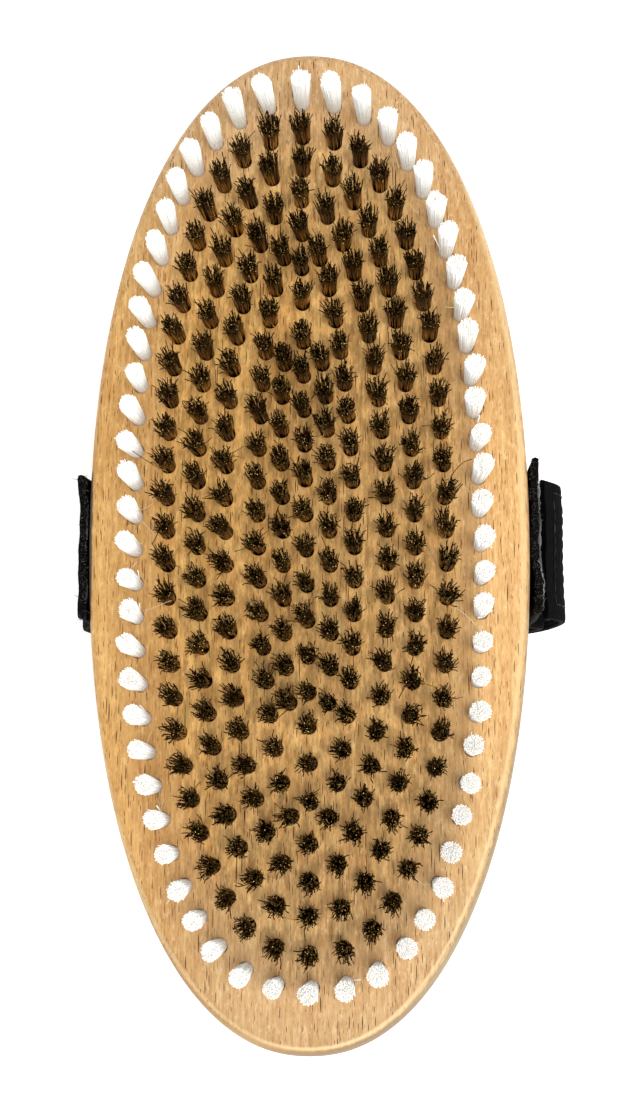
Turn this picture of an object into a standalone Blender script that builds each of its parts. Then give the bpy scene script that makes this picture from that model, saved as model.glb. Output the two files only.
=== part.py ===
"""Oval beech body brush: brass wire tufts in concentric ovals inside one row of
white tufts, a glued-on back, and a two-part hook-and-loop hand strap.

Metres, +Z up. The bristles point up, the long axis is Y, and the brush stands on
the flat underside of its strap at z = 0, with x = y = 0 under the board's centre.
"""
import bisect
import math

import bmesh
import bpy
from mathutils import Vector

MM = 0.001

# ---- driving dimensions, in millimetres -------------------------------------
LENGTH = 209.0              # board, along Y
WIDTH = 91.0                # board, along X
OUTLINE_POWER = 2.16        # superellipse exponent of the outline
OUTLINE_POINTS = 64

FACE_Z = 55.0               # drilled face
SEAM_Z = 45.0               # glue line between bristle board and back cover
BACK_Z = 36.0               # flat back, under the hand's knuckles
GLUE_GAP = 0.30
FACE_EDGE_R = 2.6           # rounded arris around the drilled face
BACK_EDGE_R = 4.0           # rounder edge around the back

WIRE_LOW, WIRE_HIGH = 43.5, 44.7    # drawing wires behind the board
POCKET_FLOOR = 43.2                 # recess in the cover that clears them
POCKET_A, POCKET_B, POCKET_POWER = 39.5, 95.5, 2.3

ROOT_R = 1.1                # tuft where it folds over its wire
HOLE_ROOT_R = 1.9           # drilled hole at the back of the board
HOLE_FACE_R = 2.3           # drilled hole at the face
BRASS_HEIGHT = 10.5         # trimmed length above the face
BRASS_TIP_R = 2.45          # the tufts flare a little towards their tips
CLOSE_TIP_R = {"brass_row_4": 2.2, "brass_inner_ring": 2.25, "brass_centre_row": 2.1,
               "brass_top_pair": 1.75, "brass_bottom_pair": 1.75}   # where the ovals close in on the long axis
WHITE_TIP_R, WHITE_HEIGHT = 2.35, 13.8
WHITE_SPLAY = math.radians(1.0)     # the outer row leans outwards

# ovals of tufts: semi-axis along X, semi-axis along Y, exponent, how many, where the
# first one sits along the oval from its top, and how far the spacing drifts around it
WHITE_OVAL = (35.4, 91.9, 2.41, 62, -0.16, -0.38)
WHITE_CENTRE = (-0.13, 0.8)         # the ovals sit a little off the board's centre
BRASS_CENTRE = (-0.24, 0.3)
BRASS_OVALS = (
    ("brass_row_1", 28.6, 84.8, 2.36, 56, -0.65, 0.0),
    ("brass_row_2", 22.3, 77.6, 2.28, 50, -0.6, 0.0),
    ("brass_row_3", 16.6, 70.8, 2.06, 44, -0.2, 0.0),
    ("brass_row_4", 9.9, 63.4, 1.92, 38, -0.2, 0.0),
    ("brass_inner_ring", 4.8, 40.0, 4.2, 24, -0.1, 0.0),
)
WHITE_TURN = math.radians(0.63)     # and slightly turned on the board
BRASS_TURN = math.radians(0.82)
COLUMN_TOP, COLUMN_PITCH, COLUMN_COUNT = 32.7, 7.32, 10
TOP_PAIR = (55.9, 48.4)
BOTTOM_PAIR = (-47.4, -55.2)

STRAP_W = 32.0              # webbing width
WEB_T = 1.7                 # webbing thickness
TAPE_T = 0.9                # hook tape and loop tape
LAYER_GAP = 0.30
WALL_X = WIDTH / 2 + 0.55 + WEB_T / 2       # middle of the webbing on a side wall
TAB_LOW, TAB_HIGH = 39.2, 52.3              # the fixed ends, below and above
HINGE_Z = 38.2              # where each half starts to swing
TAIL_X = 34.0               # where the peeling tail starts, on the underside
TACK_Z, TACK_Y = 41.5, (-10.5, 0.0, 10.5)
TACK_HEAD_R, TACK_HEAD_T, TACK_SHANK_R, TACK_LENGTH = 2.1, 0.9, 0.7, 8.0


# ---- scene -------------------------------------------------------------------
for old in list(bpy.data.objects):
    bpy.data.objects.remove(old, do_unlink=True)


def material(name, colour, roughness, metallic=0.0):
    made = bpy.data.materials.new(name)
    made.use_nodes = True
    shader = made.node_tree.nodes["Principled BSDF"]
    shader.inputs["Base Color"].default_value = (*colour, 1.0)
    shader.inputs["Roughness"].default_value = roughness
    shader.inputs["Metallic"].default_value = metallic
    made.diffuse_color = (*colour, 1.0)
    return made


BEECH = material("beech", (0.66, 0.41, 0.20), 0.55)
BEECH_BACK = material("beech_back", (0.62, 0.38, 0.18), 0.55)
BRASS = material("brass_wire", (0.36, 0.24, 0.09), 0.38, 1.0)
WHITE = material("white_bristle", (0.90, 0.88, 0.82), 0.45)
WEBBING = material("black_webbing", (0.012, 0.012, 0.014), 0.85)
HOOK = material("hook_tape", (0.016, 0.016, 0.018), 0.70)
LOOP = material("loop_tape", (0.014, 0.014, 0.015), 0.95)
STEEL = material("blued_steel", (0.05, 0.05, 0.06), 0.40, 1.0)


def new_object(name, bm, mat, parent=None, pivot=None):
    """An object whose mesh is in bm (millimetres, world), with its origin at pivot."""
    bmesh.ops.scale(bm, vec=(MM, MM, MM), verts=bm.verts)
    if pivot is not None:
        bmesh.ops.translate(bm, vec=-Vector(pivot) * MM, verts=bm.verts)
    mesh = bpy.data.meshes.new(name)
    bm.to_mesh(mesh)
    bm.free()
    mesh.materials.append(mat)
    ob = bpy.data.objects.new(name, mesh)
    bpy.context.scene.collection.objects.link(ob)
    if parent is not None:
        ob.parent = parent
    elif pivot is not None:
        ob.location = Vector(pivot) * MM
    return ob


def pivot_empty(name, at, parent=None):
    ob = bpy.data.objects.new(name, None)
    bpy.context.scene.collection.objects.link(ob)
    ob.empty_display_size = 0.01
    if parent is None:
        ob.location = Vector(at) * MM
    else:
        ob.parent = parent
        ob.location = (Vector(at) - Vector(parent["at"])) * MM
    ob["at"] = at
    return ob


# ---- curves in the plane -------------------------------------------------------
def superellipse(a, b, power, t):
    """Point at angle t from the top apex, turning left (counter-clockwise)."""
    c, s = math.cos(t), math.sin(t)
    x = -a * math.copysign(abs(s) ** (2 / power), s)
    y = b * math.copysign(abs(c) ** (2 / power), c)
    return x, y


def evenly(a, b, power, count, start=0.0, drift=0.0, steps=2000):
    """count points along the oval, turning left: the first at start from the top apex, the
    others at equal distances, but for a slow drift of up to drift either way."""
    pts = [superellipse(a, b, power, 2 * math.pi * k / steps) for k in range(steps + 1)]
    run = [0.0]
    for p, q in zip(pts, pts[1:]):
        run.append(run[-1] + math.dist(p, q))
    out = []
    for i in range(count):
        want = (run[-1] * i / count + start - drift * math.sin(2 * math.pi * i / count)) % run[-1]
        k = min(max(bisect.bisect_left(run, want) - 1, 0), steps - 1)
        f = (want - run[k]) / (run[k + 1] - run[k])
        out.append((pts[k][0] * (1 - f) + pts[k + 1][0] * f, pts[k][1] * (1 - f) + pts[k + 1][1] * f))
    return out


def outward(point, a, b, power):
    """Unit normal of the superellipse through the point."""
    x, y = point
    gx = math.copysign(abs(x / a) ** (power - 1) / a, x)
    gy = math.copysign(abs(y / b) ** (power - 1) / b, y)
    n = math.hypot(gx, gy)
    return gx / n, gy / n


def outline_loop(bm, inset, z, a=WIDTH / 2, b=LENGTH / 2, power=OUTLINE_POWER):
    """Vertices of an oval, moved in by inset along its normals."""
    loop = []
    for p in evenly(a, b, power, OUTLINE_POINTS):
        nx, ny = outward(p, a, b, power)
        loop.append(bm.verts.new((p[0] - nx * inset, p[1] - ny * inset, z)))
    return loop


def bridge(bm, low, high):
    """Quads between two loops with the same count, low below high, facing out."""
    n = len(low)
    for i in range(n):
        j = (i + 1) % n
        bm.faces.new((low[i], low[j], high[j], high[i]))


# ---- layout of the tufts --------------------------------------------------------
def oval_row(a, b, power, count, start, drift):
    pts = evenly(a, b, power, count, start, drift)
    return [(p, outward(p, a, b, power)) for p in pts]


def placed(row, by, centre):
    """The row with its normals, turned counter-clockwise and moved to its centre."""
    c, s = math.cos(by), math.sin(by)
    return [((c * x - s * y + centre[0], s * x + c * y + centre[1]), (c * nx - s * ny, s * nx + c * ny)) for (x, y), (nx, ny) in row]


WHITE_ROW = placed(oval_row(*WHITE_OVAL), WHITE_TURN, WHITE_CENTRE)
ROWS = [(name, oval_row(*oval), True) for name, *oval in BRASS_OVALS]
ROWS.append(("brass_centre_row", [((0.0, COLUMN_TOP - COLUMN_PITCH * k), (-1.0, 0.0)) for k in range(COLUMN_COUNT)], False))
ROWS.append(("brass_top_pair", [((0.0, y), (-1.0, 0.0)) for y in TOP_PAIR], False))
ROWS.append(("brass_bottom_pair", [((0.0, y), (-1.0, 0.0)) for y in BOTTOM_PAIR], False))
ROWS = [(name, placed(row, BRASS_TURN, BRASS_CENTRE), closed) for name, row, closed in ROWS]


def around(centre, normal, radius, sides, z):
    """Points of a regular polygon, the first towards normal, counter-clockwise."""
    turn = math.atan2(normal[1], normal[0])
    return [
        (centre[0] + radius * math.cos(turn + 2 * math.pi * k / sides),
         centre[1] + radius * math.sin(turn + 2 * math.pi * k / sides), z)
        for k in range(sides)
    ]


def along(centre, normal, by):
    return centre[0] + normal[0] * by, centre[1] + normal[1] * by


def loft_3_6(bm, tri, hexa, inside=False):
    """Nine triangles from a triangle up to a hexagon; inside turns them into a hole's wall."""
    a, b, c = tri
    h = hexa
    faces = ((a, h[0], h[5]), (a, h[1], h[0]), (a, b, h[1]), (b, h[2], h[1]), (b, h[3], h[2]),
             (b, c, h[3]), (c, h[4], h[3]), (c, h[5], h[4]), (c, a, h[5]))
    for f in faces:
        bm.faces.new(f[::-1] if inside else f)


# ---- bristle board: drilled, with a hole for every tuft -------------------------
def bristle_board():
    bm = bmesh.new()
    low_z = SEAM_Z + GLUE_GAP / 2
    rings = [outline_loop(bm, 0.0, low_z)]
    for k in range(3):
        turn = math.pi / 4 * k
        rings.append(outline_loop(bm, FACE_EDGE_R * (1 - math.cos(turn)),
                                  FACE_Z - FACE_EDGE_R * (1 - math.sin(turn))))
    for low, high in zip(rings, rings[1:]):
        bridge(bm, low, high)
    top_edges = [bm.edges.get((rings[-1][i], rings[-1][(i + 1) % OUTLINE_POINTS])) for i in range(OUTLINE_POINTS)]
    low_edges = [bm.edges.get((rings[0][i], rings[0][(i + 1) % OUTLINE_POINTS])) for i in range(OUTLINE_POINTS)]
    holes = [(p, n, WHITE_SPLAY) for p, n in WHITE_ROW]
    for _, row, _ in ROWS:
        holes += [(p, n, 0.0) for p, n in row]
    for p, n, splay in holes:
        back = along(p, n, -math.tan(splay) * (FACE_Z - low_z))
        tri = [bm.verts.new(v) for v in around(back, n, HOLE_ROOT_R, 3, low_z)]
        hexa = [bm.verts.new(v) for v in around(p, n, HOLE_FACE_R, 6, FACE_Z)]
        loft_3_6(bm, tri, hexa, inside=True)
        top_edges += [bm.edges.get((hexa[i], hexa[(i + 1) % 6])) for i in range(6)]
        low_edges += [bm.edges.get((tri[i], tri[(i + 1) % 3])) for i in range(3)]
    bmesh.ops.triangle_fill(bm, use_beauty=True, use_dissolve=False, edges=top_edges, normal=(0, 0, 1))
    bmesh.ops.triangle_fill(bm, use_beauty=True, use_dissolve=False, edges=low_edges, normal=(0, 0, -1))
    bmesh.ops.recalc_face_normals(bm, faces=bm.faces)
    return new_object("bristle_board", bm, BEECH)


# ---- back cover, with the recess that clears the wires ---------------------------
def back_cover():
    bm = bmesh.new()
    top_z = SEAM_Z - GLUE_GAP / 2
    rings = [outline_loop(bm, 0.0, POCKET_FLOOR, POCKET_A, POCKET_B, POCKET_POWER)]
    rings.append(outline_loop(bm, 0.0, top_z, POCKET_A, POCKET_B, POCKET_POWER))
    rings.append(outline_loop(bm, 0.0, top_z))
    for k in range(4):
        turn = math.pi / 6 * k
        rings.append(outline_loop(bm, BACK_EDGE_R * (1 - math.cos(turn)),
                                  BACK_Z + BACK_EDGE_R * (1 - math.sin(turn))))
    # from the recess floor up, over the rim, down the wall and round to the back
    for inner, outer in zip(rings, rings[1:]):
        bridge(bm, outer, inner)
    bm.faces.new(rings[0])
    bm.faces.new(rings[-1][::-1])
    bmesh.ops.recalc_face_normals(bm, faces=bm.faces)
    return new_object("back_cover", bm, BEECH_BACK)


# ---- a row of tufts drawn on one wire ---------------------------------------------
def tuft_row(name, row, closed, tip_r, height, splay, mat):
    bm = bmesh.new()
    blocks = []
    for p, n in row:
        root = along(p, n, -math.tan(splay) * (FACE_Z - WIRE_HIGH))
        tip = along(p, n, math.tan(splay) * height)
        low = [bm.verts.new(v) for v in around(root, n, ROOT_R, 3, WIRE_LOW)]
        high = [bm.verts.new(v) for v in around(root, n, ROOT_R, 3, WIRE_HIGH)]
        ends = [bm.verts.new(v) for v in around(tip, n, tip_r, 6, FACE_Z + height)]
        loft_3_6(bm, high, ends)
        bm.faces.new(ends)
        bm.faces.new((low[0], low[2], low[1]))
        bm.faces.new((low[1], low[2], high[2], high[1]))
        blocks.append((low, high))
    count = len(blocks)
    for i, (low, high) in enumerate(blocks):
        if not closed and i == count - 1:
            bm.faces.new((low[0], low[1], high[1], high[0]))
            continue
        low_2, high_2 = blocks[(i + 1) % count]
        bm.faces.new((high[0], high_2[0], high_2[2], high[1]))
        bm.faces.new((low[0], low[1], low_2[2], low_2[0]))
        bm.faces.new((low[0], low_2[0], high_2[0], high[0]))
        bm.faces.new((low_2[2], low[1], high[1], high_2[2]))
    if not closed:
        low, high = blocks[0]
        bm.faces.new((low[2], low[0], high[0], high[2]))
    return new_object(name, bm, mat)


# ---- strap ---------------------------------------------------------------------
def bezier(p0, t0, p1, t1, steps):
    """Points of a cubic from p0 (leaving along t0) to p1 (arriving along t1), without p0."""
    out = []
    for k in range(1, steps + 1):
        u = k / steps
        v = 1 - u
        c0 = (p0[0] + t0[0], p0[1] + t0[1])
        c1 = (p1[0] - t1[0], p1[1] - t1[1])
        out.append(tuple(v ** 3 * a + 3 * v * v * u * b + 3 * v * u * u * c + u ** 3 * d
                         for a, b, c, d in zip(p0, c0, c1, p1)))
    return out


LEFT_BULGE = (-51.6, 20.0)
RIGHT_BULGE = (54.1, 19.0)
FLAT_LEFT, FLAT_RIGHT = -36.0, 38.0
FREE_END = (49.9, 28.6)
MID = WEB_T / 2

# middle line of the outer half: down the left side, across the underside, up the right
OUTER = [(-WALL_X, HINGE_Z)]
OUTER += bezier(OUTER[-1], (0, -6.5), LEFT_BULGE, (0, -5.5), 5)
OUTER += bezier(LEFT_BULGE, (0, -10.5), (FLAT_LEFT, MID), (9.5, 0), 8)
OUTER += [(-24.0, MID), (-12.0, MID), (0.0, MID), (12.0, MID), (24.0, MID), (TAIL_X, MID)]
TAIL = [(TAIL_X, MID), (FLAT_RIGHT, MID)]
TAIL += bezier(TAIL[-1], (9.5, 0), RIGHT_BULGE, (0, 10.0), 8)
TAIL += bezier(RIGHT_BULGE, (0, 4.0), FREE_END, (-2.4, 3.6), 4)


def offset(path, by):
    """The path moved sideways to its left."""
    out = []
    for i, p in enumerate(path):
        a, b = path[max(i - 1, 0)], path[min(i + 1, len(path) - 1)]
        dx, dz = b[0] - a[0], b[1] - a[1]
        n = math.hypot(dx, dz)
        out.append((p[0] - dz / n * by, p[1] + dx / n * by))
    return out


def part_of(path, start, end):
    """The stretch of a path between two distances along it."""
    run = [0.0]
    for p, q in zip(path, path[1:]):
        run.append(run[-1] + math.dist(p, q))
    if end <= 0:
        end += run[-1]
    def at(s):
        for k in range(len(path) - 1):
            if s <= run[k + 1]:
                f = (s - run[k]) / (run[k + 1] - run[k])
                return (path[k][0] * (1 - f) + path[k + 1][0] * f, path[k][1] * (1 - f) + path[k + 1][1] * f)
        return path[-1]
    return [at(start)] + [p for p, r in zip(path, run) if start + 0.5 < r < end - 0.5] + [at(end)]


def ribbon(name, path, thick, width, mat, round_start=False, round_end=False, parent=None, pivot=None):
    """A band along the path in the XZ plane, with a half-round end where it turns on a hinge."""
    bm = bmesh.new()
    half = thick / 2

    def cap(at, direction):
        turn = math.atan2(direction[1], direction[0])
        return [(at[0] + half * math.cos(turn + math.pi / 2 - math.pi * k / 4),
                 at[1] + half * math.sin(turn + math.pi / 2 - math.pi * k / 4)) for k in (1, 2, 3)]

    left, right = offset(path, half), offset(path, -half)
    sides = []
    for y in (-width / 2, width / 2):
        sides.append(([bm.verts.new((p[0], y, p[1])) for p in left],
                      [bm.verts.new((p[0], y, p[1])) for p in right]))
    (l0, r0), (l1, r1) = sides
    n = len(path)
    for i in range(n - 1):
        bm.faces.new((l0[i], l0[i + 1], l1[i + 1], l1[i]))
        bm.faces.new((r0[i + 1], r0[i], r1[i], r1[i + 1]))
        bm.faces.new((l0[i + 1], l0[i], r0[i], r0[i + 1]))
        bm.faces.new((l1[i], l1[i + 1], r1[i + 1], r1[i]))

    def end(k, direction, is_round, flip):
        """Closes one end, flat or half-round, from the left side round to the right."""
        if not is_round:
            bm.faces.new((l0[k], r0[k], r1[k], l1[k]))
            return
        arc = cap(path[k], direction)
        if flip:
            arc = arc[::-1]
        a0 = [l0[k]] + [bm.verts.new((p[0], -width / 2, p[1])) for p in arc] + [r0[k]]
        a1 = [l1[k]] + [bm.verts.new((p[0], width / 2, p[1])) for p in arc] + [r1[k]]
        for i in range(4):
            bm.faces.new((a0[i], a0[i + 1], a1[i + 1], a1[i]))
        bm.faces.new(a0)
        bm.faces.new(a1)

    d0 = (path[0][0] - path[1][0], path[0][1] - path[1][1])
    d1 = (path[-1][0] - path[-2][0], path[-1][1] - path[-2][1])
    end(0, d0, round_start, True)
    end(n - 1, d1, round_end, False)
    bmesh.ops.recalc_face_normals(bm, faces=bm.faces)
    return new_object(name, bm, mat, parent, pivot)


def cutter(name, bm):
    ob = new_object(name, bm, STEEL)
    ob.hide_render = True
    ob.display_type = "WIRE"
    return ob


def rod(bm, x0, x1, y, z, radius, sides):
    """A closed prism along X."""
    ends = []
    for x in (x0, x1):
        ends.append([bm.verts.new((x, y + radius * math.cos(2 * math.pi * k / sides),
                                   z + radius * math.sin(2 * math.pi * k / sides))) for k in range(sides)])
    for i in range(sides):
        j = (i + 1) % sides
        bm.faces.new((ends[0][i], ends[0][j], ends[1][j], ends[1][i]))
    bm.faces.new(ends[0][::-1])
    bm.faces.new(ends[1])


def drill(ob, tool, name):
    cut = ob.modifiers.new(name, "BOOLEAN")
    cut.operation = "DIFFERENCE"
    cut.solver = "EXACT"
    cut.object = tool


def strap_end(name, side):
    """A fixed end of the webbing on a side wall; above the tacks it stands off a little."""
    path = [(side * WALL_X, TAB_LOW), (side * WALL_X, 44.6), (side * (WALL_X + 0.25), 48.2),
            (side * (WALL_X + 0.75), TAB_HIGH)]
    return ribbon(name, path, WEB_T, STRAP_W, WEBBING)


def tack(name, side, y):
    """A flat-headed tack: a domed head on the webbing and a pointed shank in the wood."""
    seat = WALL_X + WEB_T / 2 + LAYER_GAP
    profile = [(seat + TACK_HEAD_T, 0.0), (seat + TACK_HEAD_T * 0.8, TACK_HEAD_R * 0.55),
               (seat + TACK_HEAD_T * 0.35, TACK_HEAD_R), (seat, TACK_HEAD_R),
               (seat, TACK_SHANK_R), (seat - TACK_LENGTH + 1.6, TACK_SHANK_R), (seat - TACK_LENGTH, 0.0)]
    bm = bmesh.new()
    sides = 8
    rings = []
    for x, r in profile:
        if r == 0.0:
            rings.append([bm.verts.new((side * x, y, TACK_Z))])
        else:
            rings.append([bm.verts.new((side * x, y + r * math.cos(2 * math.pi * k / sides),
                                        TACK_Z + r * math.sin(2 * math.pi * k / sides))) for k in range(sides)])
    for one, two in zip(rings, rings[1:]):
        for k in range(sides):
            j = (k + 1) % sides
            if len(one) == 1:
                bm.faces.new((one[0], two[k], two[j]))
            elif len(two) == 1:
                bm.faces.new((one[j], one[k], two[0]))
            else:
                bm.faces.new((one[j], one[k], two[k], two[j]))
    bmesh.ops.recalc_face_normals(bm, faces=bm.faces)
    ob = new_object(name, bm, STEEL)
    ob.data.shade_smooth()
    ob.data.set_sharp_from_angle(angle=math.radians(40))
    return ob


# ---- build ---------------------------------------------------------------------
board = bristle_board()
cover = back_cover()
tuft_row("white_bristle_row", WHITE_ROW, True, WHITE_TIP_R, WHITE_HEIGHT, WHITE_SPLAY, WHITE)
for row_name, row, closed in ROWS:
    tuft_row(row_name, row, closed, CLOSE_TIP_R.get(row_name, BRASS_TIP_R), BRASS_HEIGHT, 0.0, BRASS)

left_end = strap_end("left_strap_end", -1)
right_end = strap_end("right_strap_end", 1)
bm = bmesh.new()
for y in TACK_Y:
    for side in (-1, 1):
        x0, x1 = sorted((side * (WALL_X + 6.0), side * (WALL_X - TACK_LENGTH + 0.2)))
        rod(bm, x0, x1, y, TACK_Z, TACK_SHANK_R + 0.35, 6)
tack_holes = cutter("tack_holes", bm)
for ob in (cover, left_end, right_end):
    drill(ob, tack_holes, "tack_holes")
for side_name, side in (("left", -1), ("right", 1)):
    for k, y in enumerate(TACK_Y):
        tack(f"{side_name}_tack_{k + 1}", side, y)

# outer half: swings on the left wall, and its tail peels off the inner half
left_pivot = pivot_empty("strap_hinge", (-WALL_X, 0.0, HINGE_Z))
tail_pivot = pivot_empty("tail_hinge", (TAIL_X, 0.0, MID), left_pivot)
ribbon("hook_strap", part_of(OUTER, 0.0, -(WEB_T / 2 + 0.15)), WEB_T, STRAP_W, WEBBING, round_start=True,
       parent=left_pivot, pivot=(-WALL_X, 0.0, HINGE_Z))
ribbon("hook_strap_tail", TAIL, WEB_T, STRAP_W, WEBBING, round_start=True,
       parent=tail_pivot, pivot=(TAIL_X, 0.0, MID))
HOOK_LIFT = WEB_T / 2 + LAYER_GAP + TAPE_T / 2
LOOP_LIFT = HOOK_LIFT + TAPE_T + LAYER_GAP
INNER_LIFT = LOOP_LIFT + TAPE_T / 2 + LAYER_GAP + WEB_T / 2
ribbon("hook_tape", offset(part_of(TAIL, 4.0, -2.5), HOOK_LIFT), TAPE_T, STRAP_W - 3.0, HOOK,
       parent=tail_pivot, pivot=(TAIL_X, 0.0, MID))

# inner half: swings on the right wall, inside the outer half
right_pivot = pivot_empty("loop_hinge", (WALL_X, 0.0, HINGE_Z))
INNER_FLAT = [(-16.0, MID + INNER_LIFT), (-2.0, MID + INNER_LIFT), (10.0, MID + INNER_LIFT), (22.0, MID + INNER_LIFT)]
inner = INNER_FLAT + offset(TAIL, INNER_LIFT)
inner += bezier(inner[-1], (-0.4, 3.2), (WALL_X, HINGE_Z), (0.15, 3.0), 3)
ribbon("loop_strap", inner, WEB_T, STRAP_W, WEBBING, round_end=True,
       parent=right_pivot, pivot=(WALL_X, 0.0, HINGE_Z))
loop_path = [(-14.5, MID + LOOP_LIFT), (-2.0, MID + LOOP_LIFT), (10.0, MID + LOOP_LIFT), (22.0, MID + LOOP_LIFT)]
loop_path += offset(part_of(TAIL, 0.0, -4.0), LOOP_LIFT)
ribbon("loop_tape", loop_path, TAPE_T, STRAP_W - 3.0, LOOP,
       parent=right_pivot, pivot=(WALL_X, 0.0, HINGE_Z))
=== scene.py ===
"""Looks for the oval beech brush: drilled beech board and back, crimped brass wires,
white filaments, ribbed black webbing with its stitching, tapes, frayed ends and tacks.

Lengths in this file are millimetres unless a name says otherwise; meshes are written in metres.
"""

import math

import bpy
import numpy as np
from mathutils import Matrix, Vector
from mathutils.geometry import delaunay_2d_cdt


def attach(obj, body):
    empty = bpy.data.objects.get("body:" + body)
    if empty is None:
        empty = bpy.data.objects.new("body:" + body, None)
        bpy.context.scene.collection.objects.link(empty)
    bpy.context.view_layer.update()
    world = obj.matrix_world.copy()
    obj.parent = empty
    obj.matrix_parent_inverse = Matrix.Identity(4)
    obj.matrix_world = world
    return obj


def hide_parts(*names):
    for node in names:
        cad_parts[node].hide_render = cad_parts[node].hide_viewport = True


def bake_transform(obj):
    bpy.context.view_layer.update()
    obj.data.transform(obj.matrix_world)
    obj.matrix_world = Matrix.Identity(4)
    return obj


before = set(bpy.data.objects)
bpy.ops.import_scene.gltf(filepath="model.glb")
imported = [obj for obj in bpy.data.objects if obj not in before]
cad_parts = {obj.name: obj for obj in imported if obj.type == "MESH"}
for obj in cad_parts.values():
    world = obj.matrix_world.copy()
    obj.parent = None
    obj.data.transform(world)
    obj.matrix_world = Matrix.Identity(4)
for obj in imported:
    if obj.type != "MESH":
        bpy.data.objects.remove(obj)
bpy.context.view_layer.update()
MM = 0.001

# ---- camera: at the photograph's place, read from the lean of the tufts and the outline ----
LENS = 58.73
CAMERA_AT = (20.26, -61.38, 417.59)
CAMERA_TURN = (-9.052, -3.077, 0.613)      # degrees about X, Y, Z, world to camera


def make_camera():
    rx, ry, rz = (math.radians(a) for a in CAMERA_TURN)
    turn = Matrix.Rotation(rz, 3, "Z") @ Matrix.Rotation(ry, 3, "Y") @ Matrix.Rotation(rx, 3, "X")
    data = bpy.data.cameras.new("camera")
    data.lens = LENS
    data.sensor_width = 36.0
    data.clip_start, data.clip_end = 0.01, 20.0
    ob = bpy.data.objects.new("camera", data)
    bpy.context.scene.collection.objects.link(ob)
    ob.matrix_world = Matrix.Translation(Vector(CAMERA_AT) * MM) @ turn.transposed().to_4x4()
    bpy.context.scene.camera = ob


make_camera()

# ---- driving dimensions, as in the frame -------------------------------------------
LENGTH, WIDTH, OUTLINE_POWER = 209.0, 91.0, 2.16
FACE_Z, SEAM_Z, BACK_Z = 55.0, 45.0, 36.0
FACE_EDGE_R, BACK_EDGE_R = 2.6, 4.0
WIRE_Z = 44.1
WHITE_OVAL = (35.4, 91.9, 2.41, 62, -0.16, -0.38)      # half width, half length, power, tufts, start, drift
WHITE_CENTRE, BRASS_CENTRE = (-0.13, 0.8), (-0.24, 0.3)
BRASS_OVALS = (
    ("brass_row_1", 28.6, 84.8, 2.36, 56, -0.65, 0.0),
    ("brass_row_2", 22.3, 77.6, 2.28, 50, -0.6, 0.0),
    ("brass_row_3", 16.6, 70.8, 2.06, 44, -0.2, 0.0),
    ("brass_row_4", 9.9, 63.4, 1.92, 38, -0.2, 0.0),
    ("brass_inner_ring", 4.8, 40.0, 4.2, 24, -0.1, 0.0),
)
WHITE_TURN, BRASS_TURN = math.radians(0.63), math.radians(0.82)
COLUMN_TOP, COLUMN_PITCH, COLUMN_COUNT = 32.7, 7.32, 10
TOP_PAIR, BOTTOM_PAIR = (55.9, 48.4), (-47.4, -55.2)
BRASS_HEIGHT, WHITE_HEIGHT, WHITE_SPLAY = 10.5, 13.8, math.radians(1.0)
HOLE_R, WHITE_HOLE_R, HOLE_BACK_R = 1.58, 1.60, 1.40


def superellipse(a, b, power, t):
    c, s = np.cos(t), np.sin(t)
    return np.stack([-a * np.sign(s) * np.abs(s) ** (2 / power), b * np.sign(c) * np.abs(c) ** (2 / power)], 1)


def evenly(a, b, power, count, start=0.0, drift=0.0):
    """Points along the oval at equal distances, but for a slow drift, the first at start from the top."""
    pts = superellipse(a, b, power, np.linspace(0, 2 * np.pi, 6001))
    run = np.concatenate([[0], np.cumsum(np.hypot(*np.diff(pts, axis=0).T))])
    share = np.arange(count) / count
    want = (share * run[-1] + start - drift * np.sin(2 * np.pi * share)) % run[-1]
    return np.stack([np.interp(want, run, pts[:, 0]), np.interp(want, run, pts[:, 1])], 1)


def outward(pts, a, b, power):
    g = np.sign(pts) * np.abs(pts / np.array([a, b])) ** (power - 1) / np.array([a, b])
    return g / np.linalg.norm(g, axis=1)[:, None]




def turned(pts, by):
    """Turned counter-clockwise."""
    return pts @ np.array([[math.cos(by), math.sin(by)], [-math.sin(by), math.cos(by)]])


WHITE_AT = evenly(*WHITE_OVAL)
WHITE_OUT = turned(outward(WHITE_AT, *WHITE_OVAL[:3]), WHITE_TURN)
WHITE_AT = turned(WHITE_AT, WHITE_TURN) + np.array(WHITE_CENTRE)
ROWS = [(name, evenly(*oval), True) for name, *oval in BRASS_OVALS]
ROWS.append(("brass_centre_row", np.array([(0.0, COLUMN_TOP - COLUMN_PITCH * k) for k in range(COLUMN_COUNT)]), False))
ROWS.append(("brass_top_pair", np.array([(0.0, y) for y in TOP_PAIR]), False))
ROWS.append(("brass_bottom_pair", np.array([(0.0, y) for y in BOTTOM_PAIR]), False))
ROWS = [(name, turned(at, BRASS_TURN) + np.array(BRASS_CENTRE), closed) for name, at, closed in ROWS]


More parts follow.
